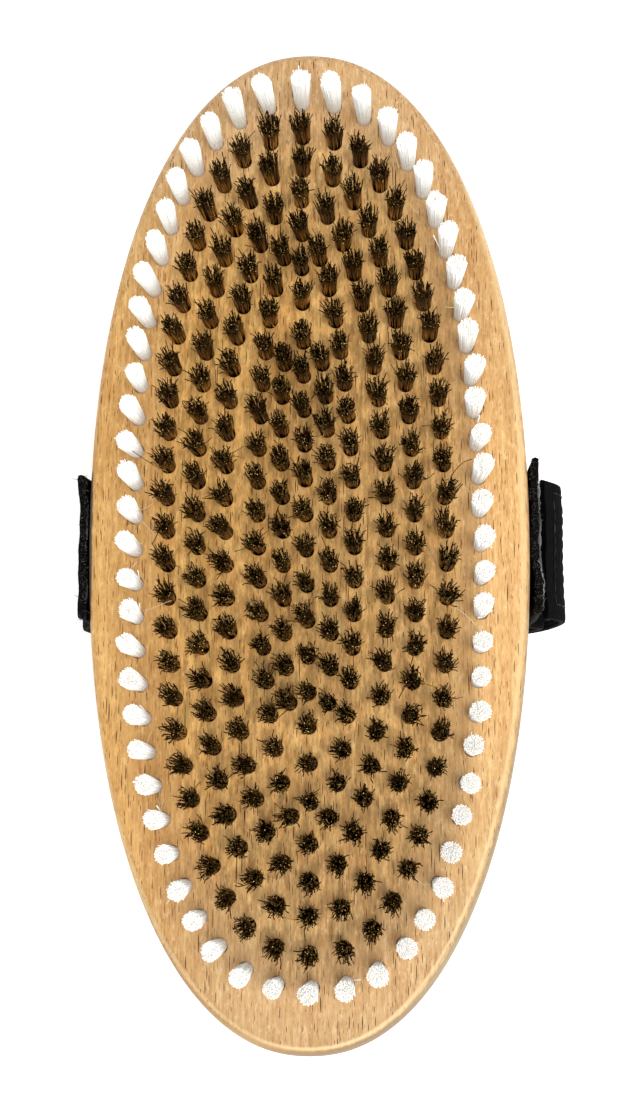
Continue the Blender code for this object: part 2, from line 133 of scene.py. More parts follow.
# ---- mesh helpers ---------------------------------------------------------------------
def new_mesh(name, verts, faces, material, smooth=True, points=None, uv=None, slots=None):
    """A mesh from lists of polygons (arrays of equal-sided faces, in millimetres), with point attributes."""
    verts = np.asarray(verts, np.float64) * MM
    faces = [np.asarray(f, np.int64) for f in faces if len(f)]
    totals = np.concatenate([np.full(len(f), f.shape[1]) for f in faces])
    corners = np.concatenate([f.ravel() for f in faces])
    starts = np.concatenate([[0], np.cumsum(totals)[:-1]])
    me = bpy.data.meshes.new(name)
    me.vertices.add(len(verts))
    me.vertices.foreach_set("co", verts.astype(np.float32).ravel())
    me.loops.add(len(corners))
    me.loops.foreach_set("vertex_index", corners.astype(np.int32))
    me.polygons.add(len(totals))
    me.polygons.foreach_set("loop_start", starts.astype(np.int32))
    me.polygons.foreach_set("loop_total", totals.astype(np.int32))
    me.update(calc_edges=True)
    if isinstance(smooth, np.ndarray):
        me.polygons.foreach_set("use_smooth", smooth.astype(bool))
    else:
        me.polygons.foreach_set("use_smooth", np.full(len(totals), bool(smooth)))
    for key, values in (points or {}).items():
        at = me.attributes.new(key, "FLOAT", "POINT")
        at.data.foreach_set("value", np.asarray(values, np.float32).ravel())
    if uv is not None:
        layer = me.uv_layers.new(name="OFBake")
        layer.data.foreach_set("uv", np.asarray(uv, np.float32)[corners if len(uv) == len(verts) else slice(None)].ravel())
    for m in (material if isinstance(material, (list, tuple)) else [material]):
        me.materials.append(m)
    if slots is not None:
        me.polygons.foreach_set("material_index", np.asarray(slots, np.int32))
    me.validate()
    ob = bpy.data.objects.new(name, me)
    bpy.context.scene.collection.objects.link(ob)
    return ob


def unit(v):
    return v / np.maximum(np.linalg.norm(v, axis=-1, keepdims=True), 1e-12)


def tubes(lines, radius, sides, ref, caps=True):
    """Tubes along lines (count, points, 3) of equal length. radius is a number or (count, points).
    ref (count, 3) is a direction across each line. Returns verts and a list of face arrays."""
    n, m, _ = lines.shape
    step = np.empty_like(lines)
    step[:, 1:-1] = lines[:, 2:] - lines[:, :-2]
    step[:, 0] = lines[:, 1] - lines[:, 0]
    step[:, -1] = lines[:, -1] - lines[:, -2]
    t = unit(step)
    u = unit(ref[:, None, :] - (ref[:, None, :] * t).sum(2, keepdims=True) * t)
    v = np.cross(t, u)
    r = np.broadcast_to(np.asarray(radius, float), (n, m)) if np.ndim(radius) != 1 else np.repeat(radius[:, None], m, 1)
    a = 2 * np.pi * np.arange(sides) / sides
    ring = (u[:, :, None, :] * np.cos(a)[None, None, :, None] + v[:, :, None, :] * np.sin(a)[None, None, :, None])
    verts = lines[:, :, None, :] + ring * r[:, :, None, None]
    idx = np.arange(n * m * sides).reshape(n, m, sides)
    nxt = np.roll(idx, -1, axis=2)
    quads = np.stack([idx[:, :-1], nxt[:, :-1], nxt[:, 1:], idx[:, 1:]], -1).reshape(-1, 4)
    faces = [quads]
    if caps:
        faces.append(np.concatenate([idx[:, 0, ::-1], idx[:, -1]]))
    return verts.reshape(-1, 3), faces


def merge_same(faces, flags=None):
    """Face arrays of one corner count put together, with a number kept for each array's faces."""
    sizes = sorted({f.shape[1] for f in faces})
    flags = [0] * len(faces) if flags is None else flags
    out = [np.concatenate([f for f in faces if f.shape[1] == s]) for s in sizes]
    marks = [np.full(len(f), v) for s in sizes for f, v in zip(faces, flags) if f.shape[1] == s]
    return out, np.concatenate(marks)


# ---- material helpers --------------------------------------------------------------------
class Nodes:
    """Short names for building a node tree."""

    def __init__(self, name, roughness=0.5, metallic=0.0):
        self.mat = bpy.data.materials.new(name)
        self.mat.use_nodes = True
        self.nt = self.mat.node_tree
        self.bsdf = self.nt.nodes["Principled BSDF"]
        self.bsdf.inputs["Roughness"].default_value = roughness
        self.bsdf.inputs["Metallic"].default_value = metallic

    def add(self, kind, **props):
        node = self.nt.nodes.new(kind)
        for k, v in props.items():
            setattr(node, k, v)
        return node

    def link(self, a, b):
        self.nt.links.new(a, b)

    def feed(self, socket, value):
        if isinstance(value, bpy.types.NodeSocket):
            self.link(value, socket)
        elif value is not None:
            socket.default_value = value

    def object_mm(self):
        tex = self.add("ShaderNodeTexCoord")
        node = self.add("ShaderNodeVectorMath", operation="SCALE")
        self.link(tex.outputs["Object"], node.inputs[0])
        node.inputs["Scale"].default_value = 1000.0
        return node.outputs[0]

    def scaled(self, vector, scale, shift=(0, 0, 0)):
        node = self.add("ShaderNodeVectorMath", operation="MULTIPLY_ADD")
        self.link(vector, node.inputs[0])
        node.inputs[1].default_value = scale
        node.inputs[2].default_value = shift
        return node.outputs[0]

    def noise(self, vector, scale=1.0, detail=2.0, roughness=0.5, distortion=0.0, colour=False):
        node = self.add("ShaderNodeTexNoise")
        if vector is not None:
            self.link(vector, node.inputs["Vector"])
        node.inputs["Scale"].default_value = scale
        node.inputs["Detail"].default_value = detail
        node.inputs["Roughness"].default_value = roughness
        node.inputs["Distortion"].default_value = distortion
        return node.outputs["Color" if colour else "Fac"]

    def math(self, operation, a, b=None, c=None, clamp=False):
        node = self.add("ShaderNodeMath", operation=operation, use_clamp=clamp)
        self.feed(node.inputs[0], a)
        self.feed(node.inputs[1], b)
        self.feed(node.inputs[2], c)
        return node.outputs[0]

    def vmath(self, operation, a, b=None):
        node = self.add("ShaderNodeVectorMath", operation=operation)
        self.feed(node.inputs[0], a)
        self.feed(node.inputs[1], b)
        return node.outputs[0]

    def ramp(self, value, stops, interpolation="LINEAR"):
        node = self.add("ShaderNodeValToRGB")
        self.feed(node.inputs[0], value)
        ramp = node.color_ramp
        ramp.interpolation = interpolation
        while len(ramp.elements) < len(stops):
            ramp.elements.new(0.5)
        for el, (pos, colour) in zip(ramp.elements, stops):
            el.position = pos
            el.color = (*colour, 1.0) if len(colour) == 3 else colour
        return node.outputs["Color"]

    def level(self, value, low, high, out_low=0.0, out_high=1.0, smooth=True):
        node = self.add("ShaderNodeMapRange")
        node.interpolation_type = "SMOOTHSTEP" if smooth else "LINEAR"
        self.feed(node.inputs["Value"], value)
        node.inputs["From Min"].default_value = low
        node.inputs["From Max"].default_value = high
        node.inputs["To Min"].default_value = out_low
        node.inputs["To Max"].default_value = out_high
        return node.outputs["Result"]

    def mix(self, factor, a, b, blend="MIX"):
        node = self.add("ShaderNodeMix", data_type="RGBA", blend_type=blend)
        self.feed(node.inputs["Factor"], factor)
        self.feed(node.inputs["A"], a if isinstance(a, bpy.types.NodeSocket) else (*a, 1.0))
        self.feed(node.inputs["B"], b if isinstance(b, bpy.types.NodeSocket) else (*b, 1.0))
        return node.outputs["Result"]

    def attribute(self, name):
        node = self.add("ShaderNodeAttribute", attribute_name=name)
        return node.outputs["Fac"]

    def bump(self, height, strength, distance, normal=None):
        node = self.add("ShaderNodeBump")
        node.inputs["Strength"].default_value = strength
        node.inputs["Distance"].default_value = distance
        self.link(height, node.inputs["Height"])
        if normal is not None:
            self.link(normal, node.inputs["Normal"])
        return node.outputs["Normal"]

    def finish(self, colour=None, roughness=None, normal=None, **sockets):
        if colour is not None:
            self.feed(self.bsdf.inputs["Base Color"], colour)
        if roughness is not None:
            self.feed(self.bsdf.inputs["Roughness"], roughness)
        if normal is not None:
            self.feed(self.bsdf.inputs["Normal"], normal)
        for key, value in sockets.items():
            self.bsdf.inputs[key.replace("_", " ")].default_value = value
        return self.mat


# ---- beech --------------------------------------------------------------------------------
def beech(name, shift, warm=1.0):
    """Steamed beech, its grain along Y: broad soft bands, fine streaks and short dark flecks."""
    n = Nodes(name, roughness=0.55)
    p = n.object_mm()
    # slow wander of the grain, so that streaks and flecks aren't ruler-straight
    wander = n.noise(n.scaled(p, (0.035, 0.012, 0.035), shift), 1.0, 2.0, 0.5, colour=True)
    drift = n.scaled(wander, (2.6, 0.0, 2.6), (-1.3, 0.0, -1.3))
    q = n.vmath("ADD", p, drift)
    bands = n.noise(n.scaled(q, (0.16, 0.010, 0.16), shift), 1.0, 3.0, 0.55)
    streaks = n.noise(n.scaled(q, (1.9, 0.085, 1.9), shift), 1.0, 3.0, 0.6)
    fine = n.noise(n.scaled(q, (3.1, 0.30, 3.1), shift), 1.0, 2.0, 0.65)
    mottle = n.noise(n.scaled(q, (0.42, 0.13, 0.42), (shift[1], 3.0, 8.0)), 1.0, 3.0, 0.6)
    base = n.ramp(bands, ((0.28, (0.620, 0.352, 0.132)), (0.50, (0.660, 0.386, 0.152)), (0.72, (0.705, 0.426, 0.176))))
    base = n.mix(n.math("MULTIPLY", n.level(mottle, 0.50, 0.74), 0.36), base, (0.800, 0.520, 0.235))
    base = n.mix(n.math("MULTIPLY", n.level(mottle, 0.48, 0.26), 0.20), base, (0.520, 0.262, 0.086))
    base = n.mix(n.math("MULTIPLY", n.level(streaks, 0.50, 0.70), 0.52), base, (0.800, 0.525, 0.245))
    base = n.mix(n.math("MULTIPLY", n.level(streaks, 0.50, 0.28), 0.36), base, (0.470, 0.228, 0.076))
    base = n.mix(n.math("MULTIPLY", n.level(fine, 0.52, 0.72), 0.52), base, (0.42, 0.198, 0.066))
    silk = n.noise(n.scaled(q, (1.25, 0.42, 1.25), (7.0, shift[0], 2.0)), 1.0, 3.0, 0.68)
    base = n.mix(n.math("MULTIPLY", n.level(silk, 0.52, 0.70), 0.50), base, (0.860, 0.590, 0.300))
    base = n.mix(n.math("MULTIPLY", n.level(silk, 0.48, 0.32), 0.26), base, (0.500, 0.255, 0.085))

    def flecks(cell_x, cell_y, radius, seed, keep):
        """Spindle-shaped dark flecks: one at most in each cell, in about keep of the cells."""
        cell = n.add("ShaderNodeTexVoronoi", voronoi_dimensions="3D", feature="F1")
        n.link(n.scaled(q, (1 / cell_x, 1 / cell_y, 1 / cell_x), seed), cell.inputs["Vector"])
        cell.inputs["Scale"].default_value = 1.0
        cell.inputs["Randomness"].default_value = 1.0
        pick = n.add("ShaderNodeSeparateColor")
        n.link(cell.outputs["Color"], pick.inputs[0])
        size = n.math("MULTIPLY", n.level(pick.outputs[0], 1 - keep, 1.0, 0.35, 1.0, smooth=False),
                      n.math("GREATER_THAN", pick.outputs[0], 1 - keep))
        reach = n.math("MULTIPLY", size, radius)
        inside = n.math("SUBTRACT", reach, cell.outputs["Distance"])
        return n.level(n.math("DIVIDE", inside, radius), 0.0, 0.16)

    big = flecks(0.50, 10.0, 0.240, (shift[0] + 3.1, 1.7, 0.4), 0.62)
    more = flecks(0.44, 6.2, 0.240, (shift[0] + 14.7, 11.3, 6.1), 0.68)
    small = flecks(0.36, 3.2, 0.235, (shift[0] + 8.6, 5.2, 2.9), 0.64)
    dark = n.math("MAXIMUM", n.math("MAXIMUM", big, more), n.math("MULTIPLY", small, 0.80))
    tint = n.mix(n.level(n.noise(n.scaled(p, (0.5, 0.2, 0.5)), 1.0, 1.0), 0.35, 0.65), (0.150, 0.056, 0.014), (0.300, 0.135, 0.040))
    colour = n.mix(n.math("MULTIPLY", dark, 0.90), base, tint)
    # pale lustre of the ray flecks
    rays = n.noise(n.scaled(q, (3.2, 0.9, 3.2), (4.0, 9.0, 2.0)), 1.0, 1.0, 0.5)
    colour = n.mix(n.math("MULTIPLY", n.level(rays, 0.58, 0.78), 0.30), colour, (0.86, 0.60, 0.31))
    # crisper figure: every tone moved away from the mean
    away = n.vmath("MULTIPLY", n.vmath("SUBTRACT", colour, (0.655, 0.388, 0.155)), (1.50, 1.50, 1.50))
    colour = n.vmath("MAXIMUM", n.vmath("ADD", away, (0.662, 0.394, 0.157)), (0.012, 0.005, 0.002))
    # painted light and shade by place, not the wood's own colour: deeper gold across the middle of the board and its
    # left side, a greyer top end, a browner upper right
    place = n.add("ShaderNodeSeparateXYZ")
    n.link(p, place.inputs[0])
    at_x, at_y = place.outputs["X"], place.outputs["Y"]
    middle = n.level(n.math("ABSOLUTE", at_y), 98.0, 40.0)
    colour = n.mix(n.math("MULTIPLY", middle, n.level(at_x, 42.0, -30.0, 0.38, 0.92)), colour, (1.04, 0.960, 0.715), "MULTIPLY")
    # painted light and shade between the tufts: the wood there made lighter, in clouds
    among = n.math("ADD", n.math("POWER", n.math("ABSOLUTE", n.math("DIVIDE", at_x, 31.0)), 2.2),
                   n.math("POWER", n.math("ABSOLUTE", n.math("DIVIDE", at_y, 87.0)), 2.2))
    cloud = n.noise(n.scaled(q, (0.60, 0.20, 0.60), (2.0, shift[2], 5.0)), 1.0, 3.0, 0.62)
    painted_light_and_shade_between_tufts = n.mix(n.level(cloud, 0.34, 0.66), (0.86, 0.83, 0.66), (1.50, 1.50, 1.37))
    colour = n.mix(n.level(among, 1.15, 0.80), colour, painted_light_and_shade_between_tufts, "MULTIPLY")
    # painted light and shade towards the ends and sides of the face: greyer at the top end, darker at the upper right,
    # lighter at the upper left, darker towards the bottom end
    colour = n.mix(n.math("MULTIPLY", n.level(at_y, 62.0, 96.0), 0.55), colour, (0.93, 0.99, 1.22), "MULTIPLY")
    colour = n.mix(n.math("MULTIPLY", n.level(at_y, 8.0, 46.0), n.level(at_x, 6.0, 36.0)), colour, (0.835, 0.820, 0.830), "MULTIPLY")
    colour = n.mix(n.math("MULTIPLY", n.level(at_y, 20.0, 60.0), n.level(at_x, -14.0, -36.0)), colour, (1.07, 1.11, 1.22), "MULTIPLY")
    colour = n.mix(n.level(at_y, -62.0, -92.0), colour, (0.845, 0.855, 0.880), "MULTIPLY")
    low_down = n.math("MULTIPLY", n.level(at_y, -30.0, -60.0), n.level(at_y, -94.0, -82.0))
    colour = n.mix(n.math("MULTIPLY", low_down, n.level(at_x, -12.0, -30.0)), colour, (0.950, 0.905, 0.830), "MULTIPLY")
    colour = n.mix(n.math("MULTIPLY", low_down, n.level(at_x, 16.0, 32.0)), colour, (0.870, 0.900, 0.930), "MULTIPLY")
    # end grain at the rounded ends; painted highlights in pale lines where the edge begins to turn, at the lower right
    # and along the bottom; painted shade in a brown band on the bottom and lower left edge; darker grey-brown on the
    # edge facing the lower right
    facing = n.add("ShaderNodeSeparateXYZ")
    n.link(n.add("ShaderNodeNewGeometry").outputs["Normal"], facing.inputs[0])
    lean_x, lean_y = facing.outputs["X"], facing.outputs["Y"]
    colour = n.mix(n.math("MULTIPLY", n.level(n.math("ABSOLUTE", lean_y), 0.45, 0.85), 0.30), colour, (0.36, 0.20, 0.085))
    corner = n.math("ADD", n.math("MULTIPLY", lean_x, 0.62), n.math("MULTIPLY", lean_y, -0.78))
    edge_wobble = n.noise(n.scaled(p, (0.5, 0.5, 0.5)), 1.0, 2.0)
    upward = n.level(facing.outputs["Z"], -0.02, 0.20)
    # painted highlight: a pale line where the edge at the lower right begins to turn
    painted_edge_highlight = n.math("MULTIPLY", n.math("MULTIPLY", n.level(corner, 0.12, 0.26), n.level(corner, 0.50, 0.34)), upward)
    colour = n.mix(n.math("MULTIPLY", painted_edge_highlight, 0.45), colour, (0.93, 0.72, 0.40))
    below = n.math("ADD", n.math("MULTIPLY", lean_y, -1.0), n.math("MULTIPLY", lean_x, -0.10))
    # painted highlight: a pale line along the bottom edge where it begins to turn
    line = n.math("MULTIPLY", n.math("MULTIPLY", n.level(below, 0.16, 0.30), n.level(below, 0.48, 0.38)), upward)
    colour = n.mix(n.math("MULTIPLY", line, 0.40), colour, (0.93, 0.70, 0.38))
    # painted shade: a brown band on the bottom and lower left edge, below the pale line
    colour = n.mix(n.math("MULTIPLY", n.math("MULTIPLY", n.level(below, 0.42, 0.60), upward), 0.60), colour, (0.400, 0.222, 0.090))
    # darker grey-brown on the edge facing the lower right
    grey = n.level(n.math("ADD", corner, n.math("MULTIPLY", n.math("SUBTRACT", edge_wobble, 0.5), 0.25)), 0.46, 0.62)
    grey = n.math("MULTIPLY", grey, upward)
    colour = n.mix(n.math("MULTIPLY", grey, 0.72), colour, (0.300, 0.235, 0.155))
    # painted shadow: black on the left edge of the wood where the end of the webbing stands against it
    strap_contact_shadow = n.math("MULTIPLY", n.level(n.math("ADD", at_x, n.math("MULTIPLY", edge_wobble, 0.5)), -44.15, -44.65),
                    n.level(n.math("ABSOLUTE", n.math("ADD", at_y, 2.0)), 16.2, 15.0))
    colour = n.mix(n.math("MULTIPLY", strap_contact_shadow, 0.90), colour, (0.014, 0.012, 0.010))
    height = n.math("SUBTRACT", n.math("MULTIPLY", streaks, 0.35), n.math("MULTIPLY", dark, 0.9))
    height = n.math("ADD", height, n.math("MULTIPLY", fine, 0.25))
    rough = n.level(streaks, 0.2, 0.8, 0.60, 0.46, smooth=False)
    rough = n.math("ADD", rough, n.math("MULTIPLY", dark, 0.2))
    n.finish(colour, rough, n.bump(height, 0.35, 0.00012), Specular_IOR_Level=0.35, Coat_Weight=0.10, Coat_Roughness=0.32)
    return n.mat


BEECH_FACE = beech("beech_face_wood", (0.0, 0.0, 0.0))
BEECH_BACK = beech("beech_back_wood", (31.0, 17.0, 5.0))


OUTLINE_COUNT = 288
HOLE_SIDES = 20


def outline_ring(inset, z, a=WIDTH / 2, b=LENGTH / 2, power=OUTLINE_POWER):
    pts = evenly(a, b, power, OUTLINE_COUNT)
    pts = pts - outward(pts, a, b, power) * inset
    return np.column_stack([pts, np.full(OUTLINE_COUNT, z)])


def wall_between(base, k, rings):
    """Quads from ring to ring, for rings of equal count stored one after another from index base."""
    idx = base + np.arange(k * rings).reshape(rings, k)
    nxt = np.roll(idx, -1, axis=1)
    return np.stack([idx[:-1], nxt[:-1], nxt[1:], idx[1:]], -1).reshape(-1, 4)


def filled(loops, z):
    """Triangles of the flat region inside loops[0] and outside the others; indices count through the loops."""
    pts = np.concatenate([l[:, :2] for l in loops])
    edges, base = [], 0
    for l in loops:
        k = len(l)
        edges += [(base + i, base + (i + 1) % k) for i in range(k)]
        base += k
    out = delaunay_2d_cdt([Vector(p) for p in pts], edges, [], 0, 1e-7)
    co, tris, origin = np.array([tuple(v) for v in out[0]]), np.array(out[2]), out[3]
    back = np.array([o[0] for o in origin])
    mid = co[tris].mean(1)
    keep = np.ones(len(tris), bool)
    outer = loops[0][:, :2]
    x0, y0, x1, y1 = outer[:, 0], outer[:, 1], np.roll(outer[:, 0], -1), np.roll(outer[:, 1], -1)
    cross = ((y0[None] > mid[:, 1:]) != (y1[None] > mid[:, 1:])) & (
        mid[:, :1] < (x1 - x0)[None] * (mid[:, 1:] - y0[None]) / (y1 - y0 + 1e-12)[None] + x0[None])
    keep &= cross.sum(1) % 2 == 1
    for l in loops[1:]:
        c = l[:, :2].mean(0)
        r = np.hypot(*(l[:, :2] - c).T).max()
        near = np.nonzero(np.hypot(*(mid - c).T) < r * 0.999)[0]
        if len(near):
            keep[near] = False
    tris = back[tris[keep]]
    a, b, c = (pts[tris[:, i]] for i in range(3))
    flip = (b[:, 0] - a[:, 0]) * (c[:, 1] - a[:, 1]) - (b[:, 1] - a[:, 1]) * (c[:, 0] - a[:, 0]) < 0
    tris[flip] = tris[flip][:, ::-1]
    return tris


def board_mesh():
    low_z = SEAM_Z + 0.06
    rings = [outline_ring(0.35, low_z), outline_ring(0.08, low_z + 0.12), outline_ring(0.0, low_z + 0.40)]
    for k in range(11):
        turn = math.pi / 2 * k / 10
        rings.append(outline_ring(FACE_EDGE_R * (1 - math.cos(turn)), FACE_Z - FACE_EDGE_R * (1 - math.sin(turn))))
    k = OUTLINE_COUNT
    verts = [np.concatenate(rings)]
    faces = [wall_between(0, k, len(rings))]
    base = k * len(rings)
    holes = [(p, o, WHITE_SPLAY, WHITE_HOLE_R) for p, o in zip(WHITE_AT, WHITE_OUT)]
    for _, at, _ in ROWS:
        holes += [(p, np.zeros(2), 0.0, HOLE_R) for p in at]
    a = 2 * np.pi * np.arange(HOLE_SIDES) / HOLE_SIDES
    circle = np.stack([np.cos(a), np.sin(a)], 1)
    tops, lows = [], []
    for p, o, splay, wide in holes:
        levels = ((FACE_Z, wide + 0.08), (FACE_Z - 0.08, wide), (FACE_Z - 5.0, wide - 0.10), (low_z, HOLE_BACK_R))
        loops = []
        for z, r in levels:
            c = p - o * math.tan(splay) * (FACE_Z - z)
            loops.append(np.column_stack([c + circle * r, np.full(HOLE_SIDES, z)]))
        verts.append(np.concatenate(loops))
        faces.append(wall_between(base, HOLE_SIDES, len(loops)))
        tops.append((base, loops[0]))
        lows.append((base + HOLE_SIDES * (len(loops) - 1), loops[-1]))
        base += HOLE_SIDES * len(loops)
    verts = np.concatenate(verts)
    for which, outer_base, outer, down in ((tops, k * (len(rings) - 1), rings[-1], False), (lows, 0, rings[0], True)):
        loops = [outer] + [l for _, l in which]
        tris = filled(loops, 0)
        lookup = np.concatenate([outer_base + np.arange(k)] + [b + np.arange(HOLE_SIDES) for b, _ in which])
        tris = lookup[tris]
        faces.append(tris[:, ::-1] if down else tris)
    faces, _ = merge_same(faces)
    flat = len(faces[0])
    smooth = np.concatenate([np.zeros(flat, bool), np.ones(len(faces[1]), bool)])
    ob = new_mesh("bristle_board_wood", verts, faces, BEECH_FACE, smooth)
    sharpen(ob, 28)
    return ob


def sharpen(ob, degrees):
    ob.data.set_sharp_from_angle(angle=math.radians(degrees))


def cover_mesh():
    top_z = SEAM_Z - 0.06
    pocket = (39.3, 95.3, 2.3)
    rings = [outline_ring(0.0, 43.2, *pocket), outline_ring(0.0, top_z, *pocket),
             outline_ring(0.35, top_z), outline_ring(0.08, top_z - 0.12), outline_ring(0.0, top_z - 0.40)]
    for k in range(13):
        turn = math.pi / 2 * k / 12
        rings.append(outline_ring(BACK_EDGE_R * (1 - math.cos(turn)), BACK_Z + BACK_EDGE_R * (1 - math.sin(turn))))
    verts = np.concatenate(rings)
    k = OUTLINE_COUNT
    walls = wall_between(0, k, len(rings))[:, ::-1]
    floor = filled([rings[0]], 0)
    back = filled([rings[-1]], 0)[:, ::-1] + k * (len(rings) - 1)
    faces = [np.concatenate([floor, back]), walls]
    smooth = np.concatenate([np.zeros(len(floor) + len(back), bool), np.ones(len(walls), bool)])
    ob = new_mesh("back_cover_wood", verts, faces, BEECH_BACK, smooth)
    sharpen(ob, 28)
    return ob


board = board_mesh()
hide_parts("bristle_board")
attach(board, "brush")
cover = cover_mesh()
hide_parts("back_cover")
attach(cover, "brush")


# ---- crimped brass wires --------------------------------------------------------------------
def brass(name, cut):
    """Tarnished brass, the wires' sides with painted shade towards their cut ends and just above the face: tone picks
    the wire, along runs from its fold (0) to its cut end (1).
    """
    n = Nodes(name, roughness=0.46 if cut else 0.42, metallic=1.0)
    tone, along = n.attribute("tone"), n.attribute("along")
    if cut:
        colour = n.ramp(tone, ((0.0, (0.046, 0.027, 0.008)), (0.6, (0.120, 0.074, 0.021)), (1.0, (0.46, 0.32, 0.12))))
    else:
        colour = n.ramp(tone, ((0.00, (0.034, 0.015, 0.003)), (0.28, (0.130, 0.062, 0.011)), (0.55, (0.360, 0.195, 0.037)),
                               (0.82, (0.620, 0.375, 0.084)), (1.00, (0.820, 0.560, 0.165))))
        # painted shade: the wires darkened towards their cut ends, in the tuft's head
        colour = n.mix(n.math("MULTIPLY", n.level(along, 0.70, 0.90), 0.86), colour, (0.038, 0.020, 0.0055))
        # painted shade: the wires darkened just above the face, at the foot of the tuft
        colour = n.mix(n.math("MULTIPLY", n.level(along, 0.58, 0.485), 0.40), colour, (0.044, 0.015, 0.003))
    n.finish(colour, None, None)
    return n.mat


BRASS = [brass("tarnished_brass_and_painted_shade", False), brass("brass_cut_end", True)]


def wires_of(name, centres, closed, rng):
    """U-shaped crimped wires, folded over the drawing wire, with both ends out of the hole."""
    count = 42
    t = len(centres)
    n = t * count
    centre = np.repeat(centres, count, 0)
    tight = {"brass_row_4": 0.93, "brass_inner_ring": 0.95, "brass_centre_row": 0.90,
             "brass_top_pair": 0.86, "brass_bottom_pair": 0.86}.get(name, 1.0)
    lean = np.repeat(rng.normal(0, 0.022, (t, 2)), count, 0)            # the whole tuft stands a little off true
    turn = np.repeat(rng.normal(0, 0.16, t), count)                    # and its fold a little askew
    height = np.repeat(rng.normal(0, 0.14, t), count)
    legs, leg_tones = [], []
    strands_of = 11
    # tone by strand: partly the wires' own tone, partly painted shade, the dark strands standing for the shade in the
    # gaps between strands
    shade = rng.beta(0.95, 1.25, (t, strands_of))                         # wires lie together in strands, some dark, some bright
    twist = rng.uniform(0, 2 * np.pi, t)
    for side in (-1, 1):
        a = rng.uniform(-0.5 * np.pi, 0.5 * np.pi, n)
        r = np.sqrt(rng.uniform(0.0, 1.0, n)) * 1.47 * tight
        bx = side * (0.12 + np.abs(r * np.cos(a)) * 0.95)
        by = r * np.sin(a) * 1.04
        close = -side * 0.16
        bx, by, cx, cy = (bx * np.cos(turn) - by * np.sin(turn), bx * np.sin(turn) + by * np.cos(turn),
                          close * np.cos(turn), close * np.sin(turn))
        base = np.stack([bx, by], 1)
        strand = ((np.arctan2(by, bx) + np.repeat(twist, count)) / (2 * np.pi) * strands_of).astype(int) % strands_of
        leg_tones.append(0.72 * shade[np.repeat(np.arange(t), count), strand] + 0.28 * rng.beta(1.6, 1.8, n))
        closing = np.stack([cx, cy], 1)
        length = BRASS_HEIGHT + height + rng.normal(-0.12, 0.36, n) - (rng.random(n) < 0.10) * rng.uniform(0.4, 2.2, n)
        length += (rng.random(n) < 0.05) * rng.uniform(0.2, 0.8, n)
        flare = 1.0 + (0.36 + 0.29 * rng.random((n, 1)))
        spread = rng.normal(0, 0.19, (n, 2))
        away = unit(rng.normal(0, 0.8, (n, 2)) + base)
        wild = (rng.random((n, 1)) < 0.07) * away * rng.uniform(0.4, 1.2, (n, 1)) * (0.3 + 0.7 * tight)
        bend = rng.normal(0, 0.27, (n, 2)) + (rng.random((n, 1)) < 0.12) * away * rng.uniform(0.3, 0.8, (n, 1))
        phase = rng.uniform(0, 2 * np.pi, n)
        across = unit(np.column_stack([rng.normal(0, 1, (n, 2)), np.zeros(n)]))
        amp = rng.uniform(0.04, 0.13, n)
        zs = np.stack([np.full(n, -0.4), np.full(n, 2.7), np.full(n, 5.8), length - rng.uniform(1.2, 2.0, n), length], 1)
        u = np.clip(zs / BRASS_HEIGHT, 0, 1.2)[:, :, None]
        xy = base[:, None, :] * (1 + (flare - 1)[:, None, :] * u)
        xy = xy + closing[:, None, :] * np.minimum(u * 1.4, 1) + spread[:, None, :] * u ** 1.5 + wild[:, None, :] * u ** 2.4
        xy[:, -1] += bend
        xy = xy + lean[:, None, :] * np.maximum(zs, 0)[:, :, None]
        crimp = amp[:, None] * np.sin(2 * np.pi * zs / 4.6 + phase[:, None]) * (zs > 0.5)
        pts = np.concatenate([xy + centre[:, None, :], zs[:, :, None] + FACE_Z], 2)
        legs.append(pts + across[:, None, :] * crimp[:, :, None])
    fold = np.column_stack([centre + rng.normal(0, 0.26, (n, 2)), rng.uniform(WIRE_Z - 0.35, WIRE_Z + 0.1, n)])
    lines = np.concatenate([legs[0][:, ::-1], fold[:, None, :], legs[1]], 1)
    lines[:, :, 2] = np.minimum(lines[:, :, 2], FACE_Z + WHITE_HEIGHT - 0.2)
    ref = unit(np.column_stack([rng.normal(0, 0.25, n), np.ones(n), rng.normal(0, 0.05, n)]))
    m = lines.shape[1]
    verts, faces = tubes(lines, rng.uniform(0.095, 0.122, n), 4, ref)
    bright = rng.random(n) < 0.05
    tone = np.concatenate([np.repeat(leg_tones[0][:, None], 6, 1), np.repeat(leg_tones[1][:, None], 5, 1)], 1)
    tone = np.where(bright[:, None], rng.uniform(0.85, 1.0, n)[:, None], tone)
    z = lines[:, :, 2]
    # 0 at the fold, 0.5 at the face, 1 at the cut end
    run = np.where(z < FACE_Z, 0.5 * (z - WIRE_Z) / (FACE_Z - WIRE_Z), 0.5 + 0.5 * (z - FACE_Z) / BRASS_HEIGHT)
    run = np.clip(run, 0, 1)
    tones = np.repeat(tone[:, :, None], 4, 2).ravel()
    runs = np.repeat(run[:, :, None], 4, 2).ravel()
    # the drawing wire, straight from fold to fold
    root = np.column_stack([centres, np.full(t, WIRE_Z - 0.70)])
    if closed:
        root = np.concatenate([root, root[:1] + np.array([[0.02, 0.0, 0.0]])])
    v2, f2 = tubes(root[None], 0.28, 6, np.array([[0.0, 0.0, 1.0]]))
    base = len(verts)
    verts = np.concatenate([verts, v2])
    faces, cuts = merge_same(faces + [f + base for f in f2], [0, 1, 0, 0])
    tones = np.concatenate([tones, np.full(len(v2), 0.5)])
    runs = np.concatenate([runs, np.full(len(v2), 0.3)])
    return verts, faces, cuts, tones, runs


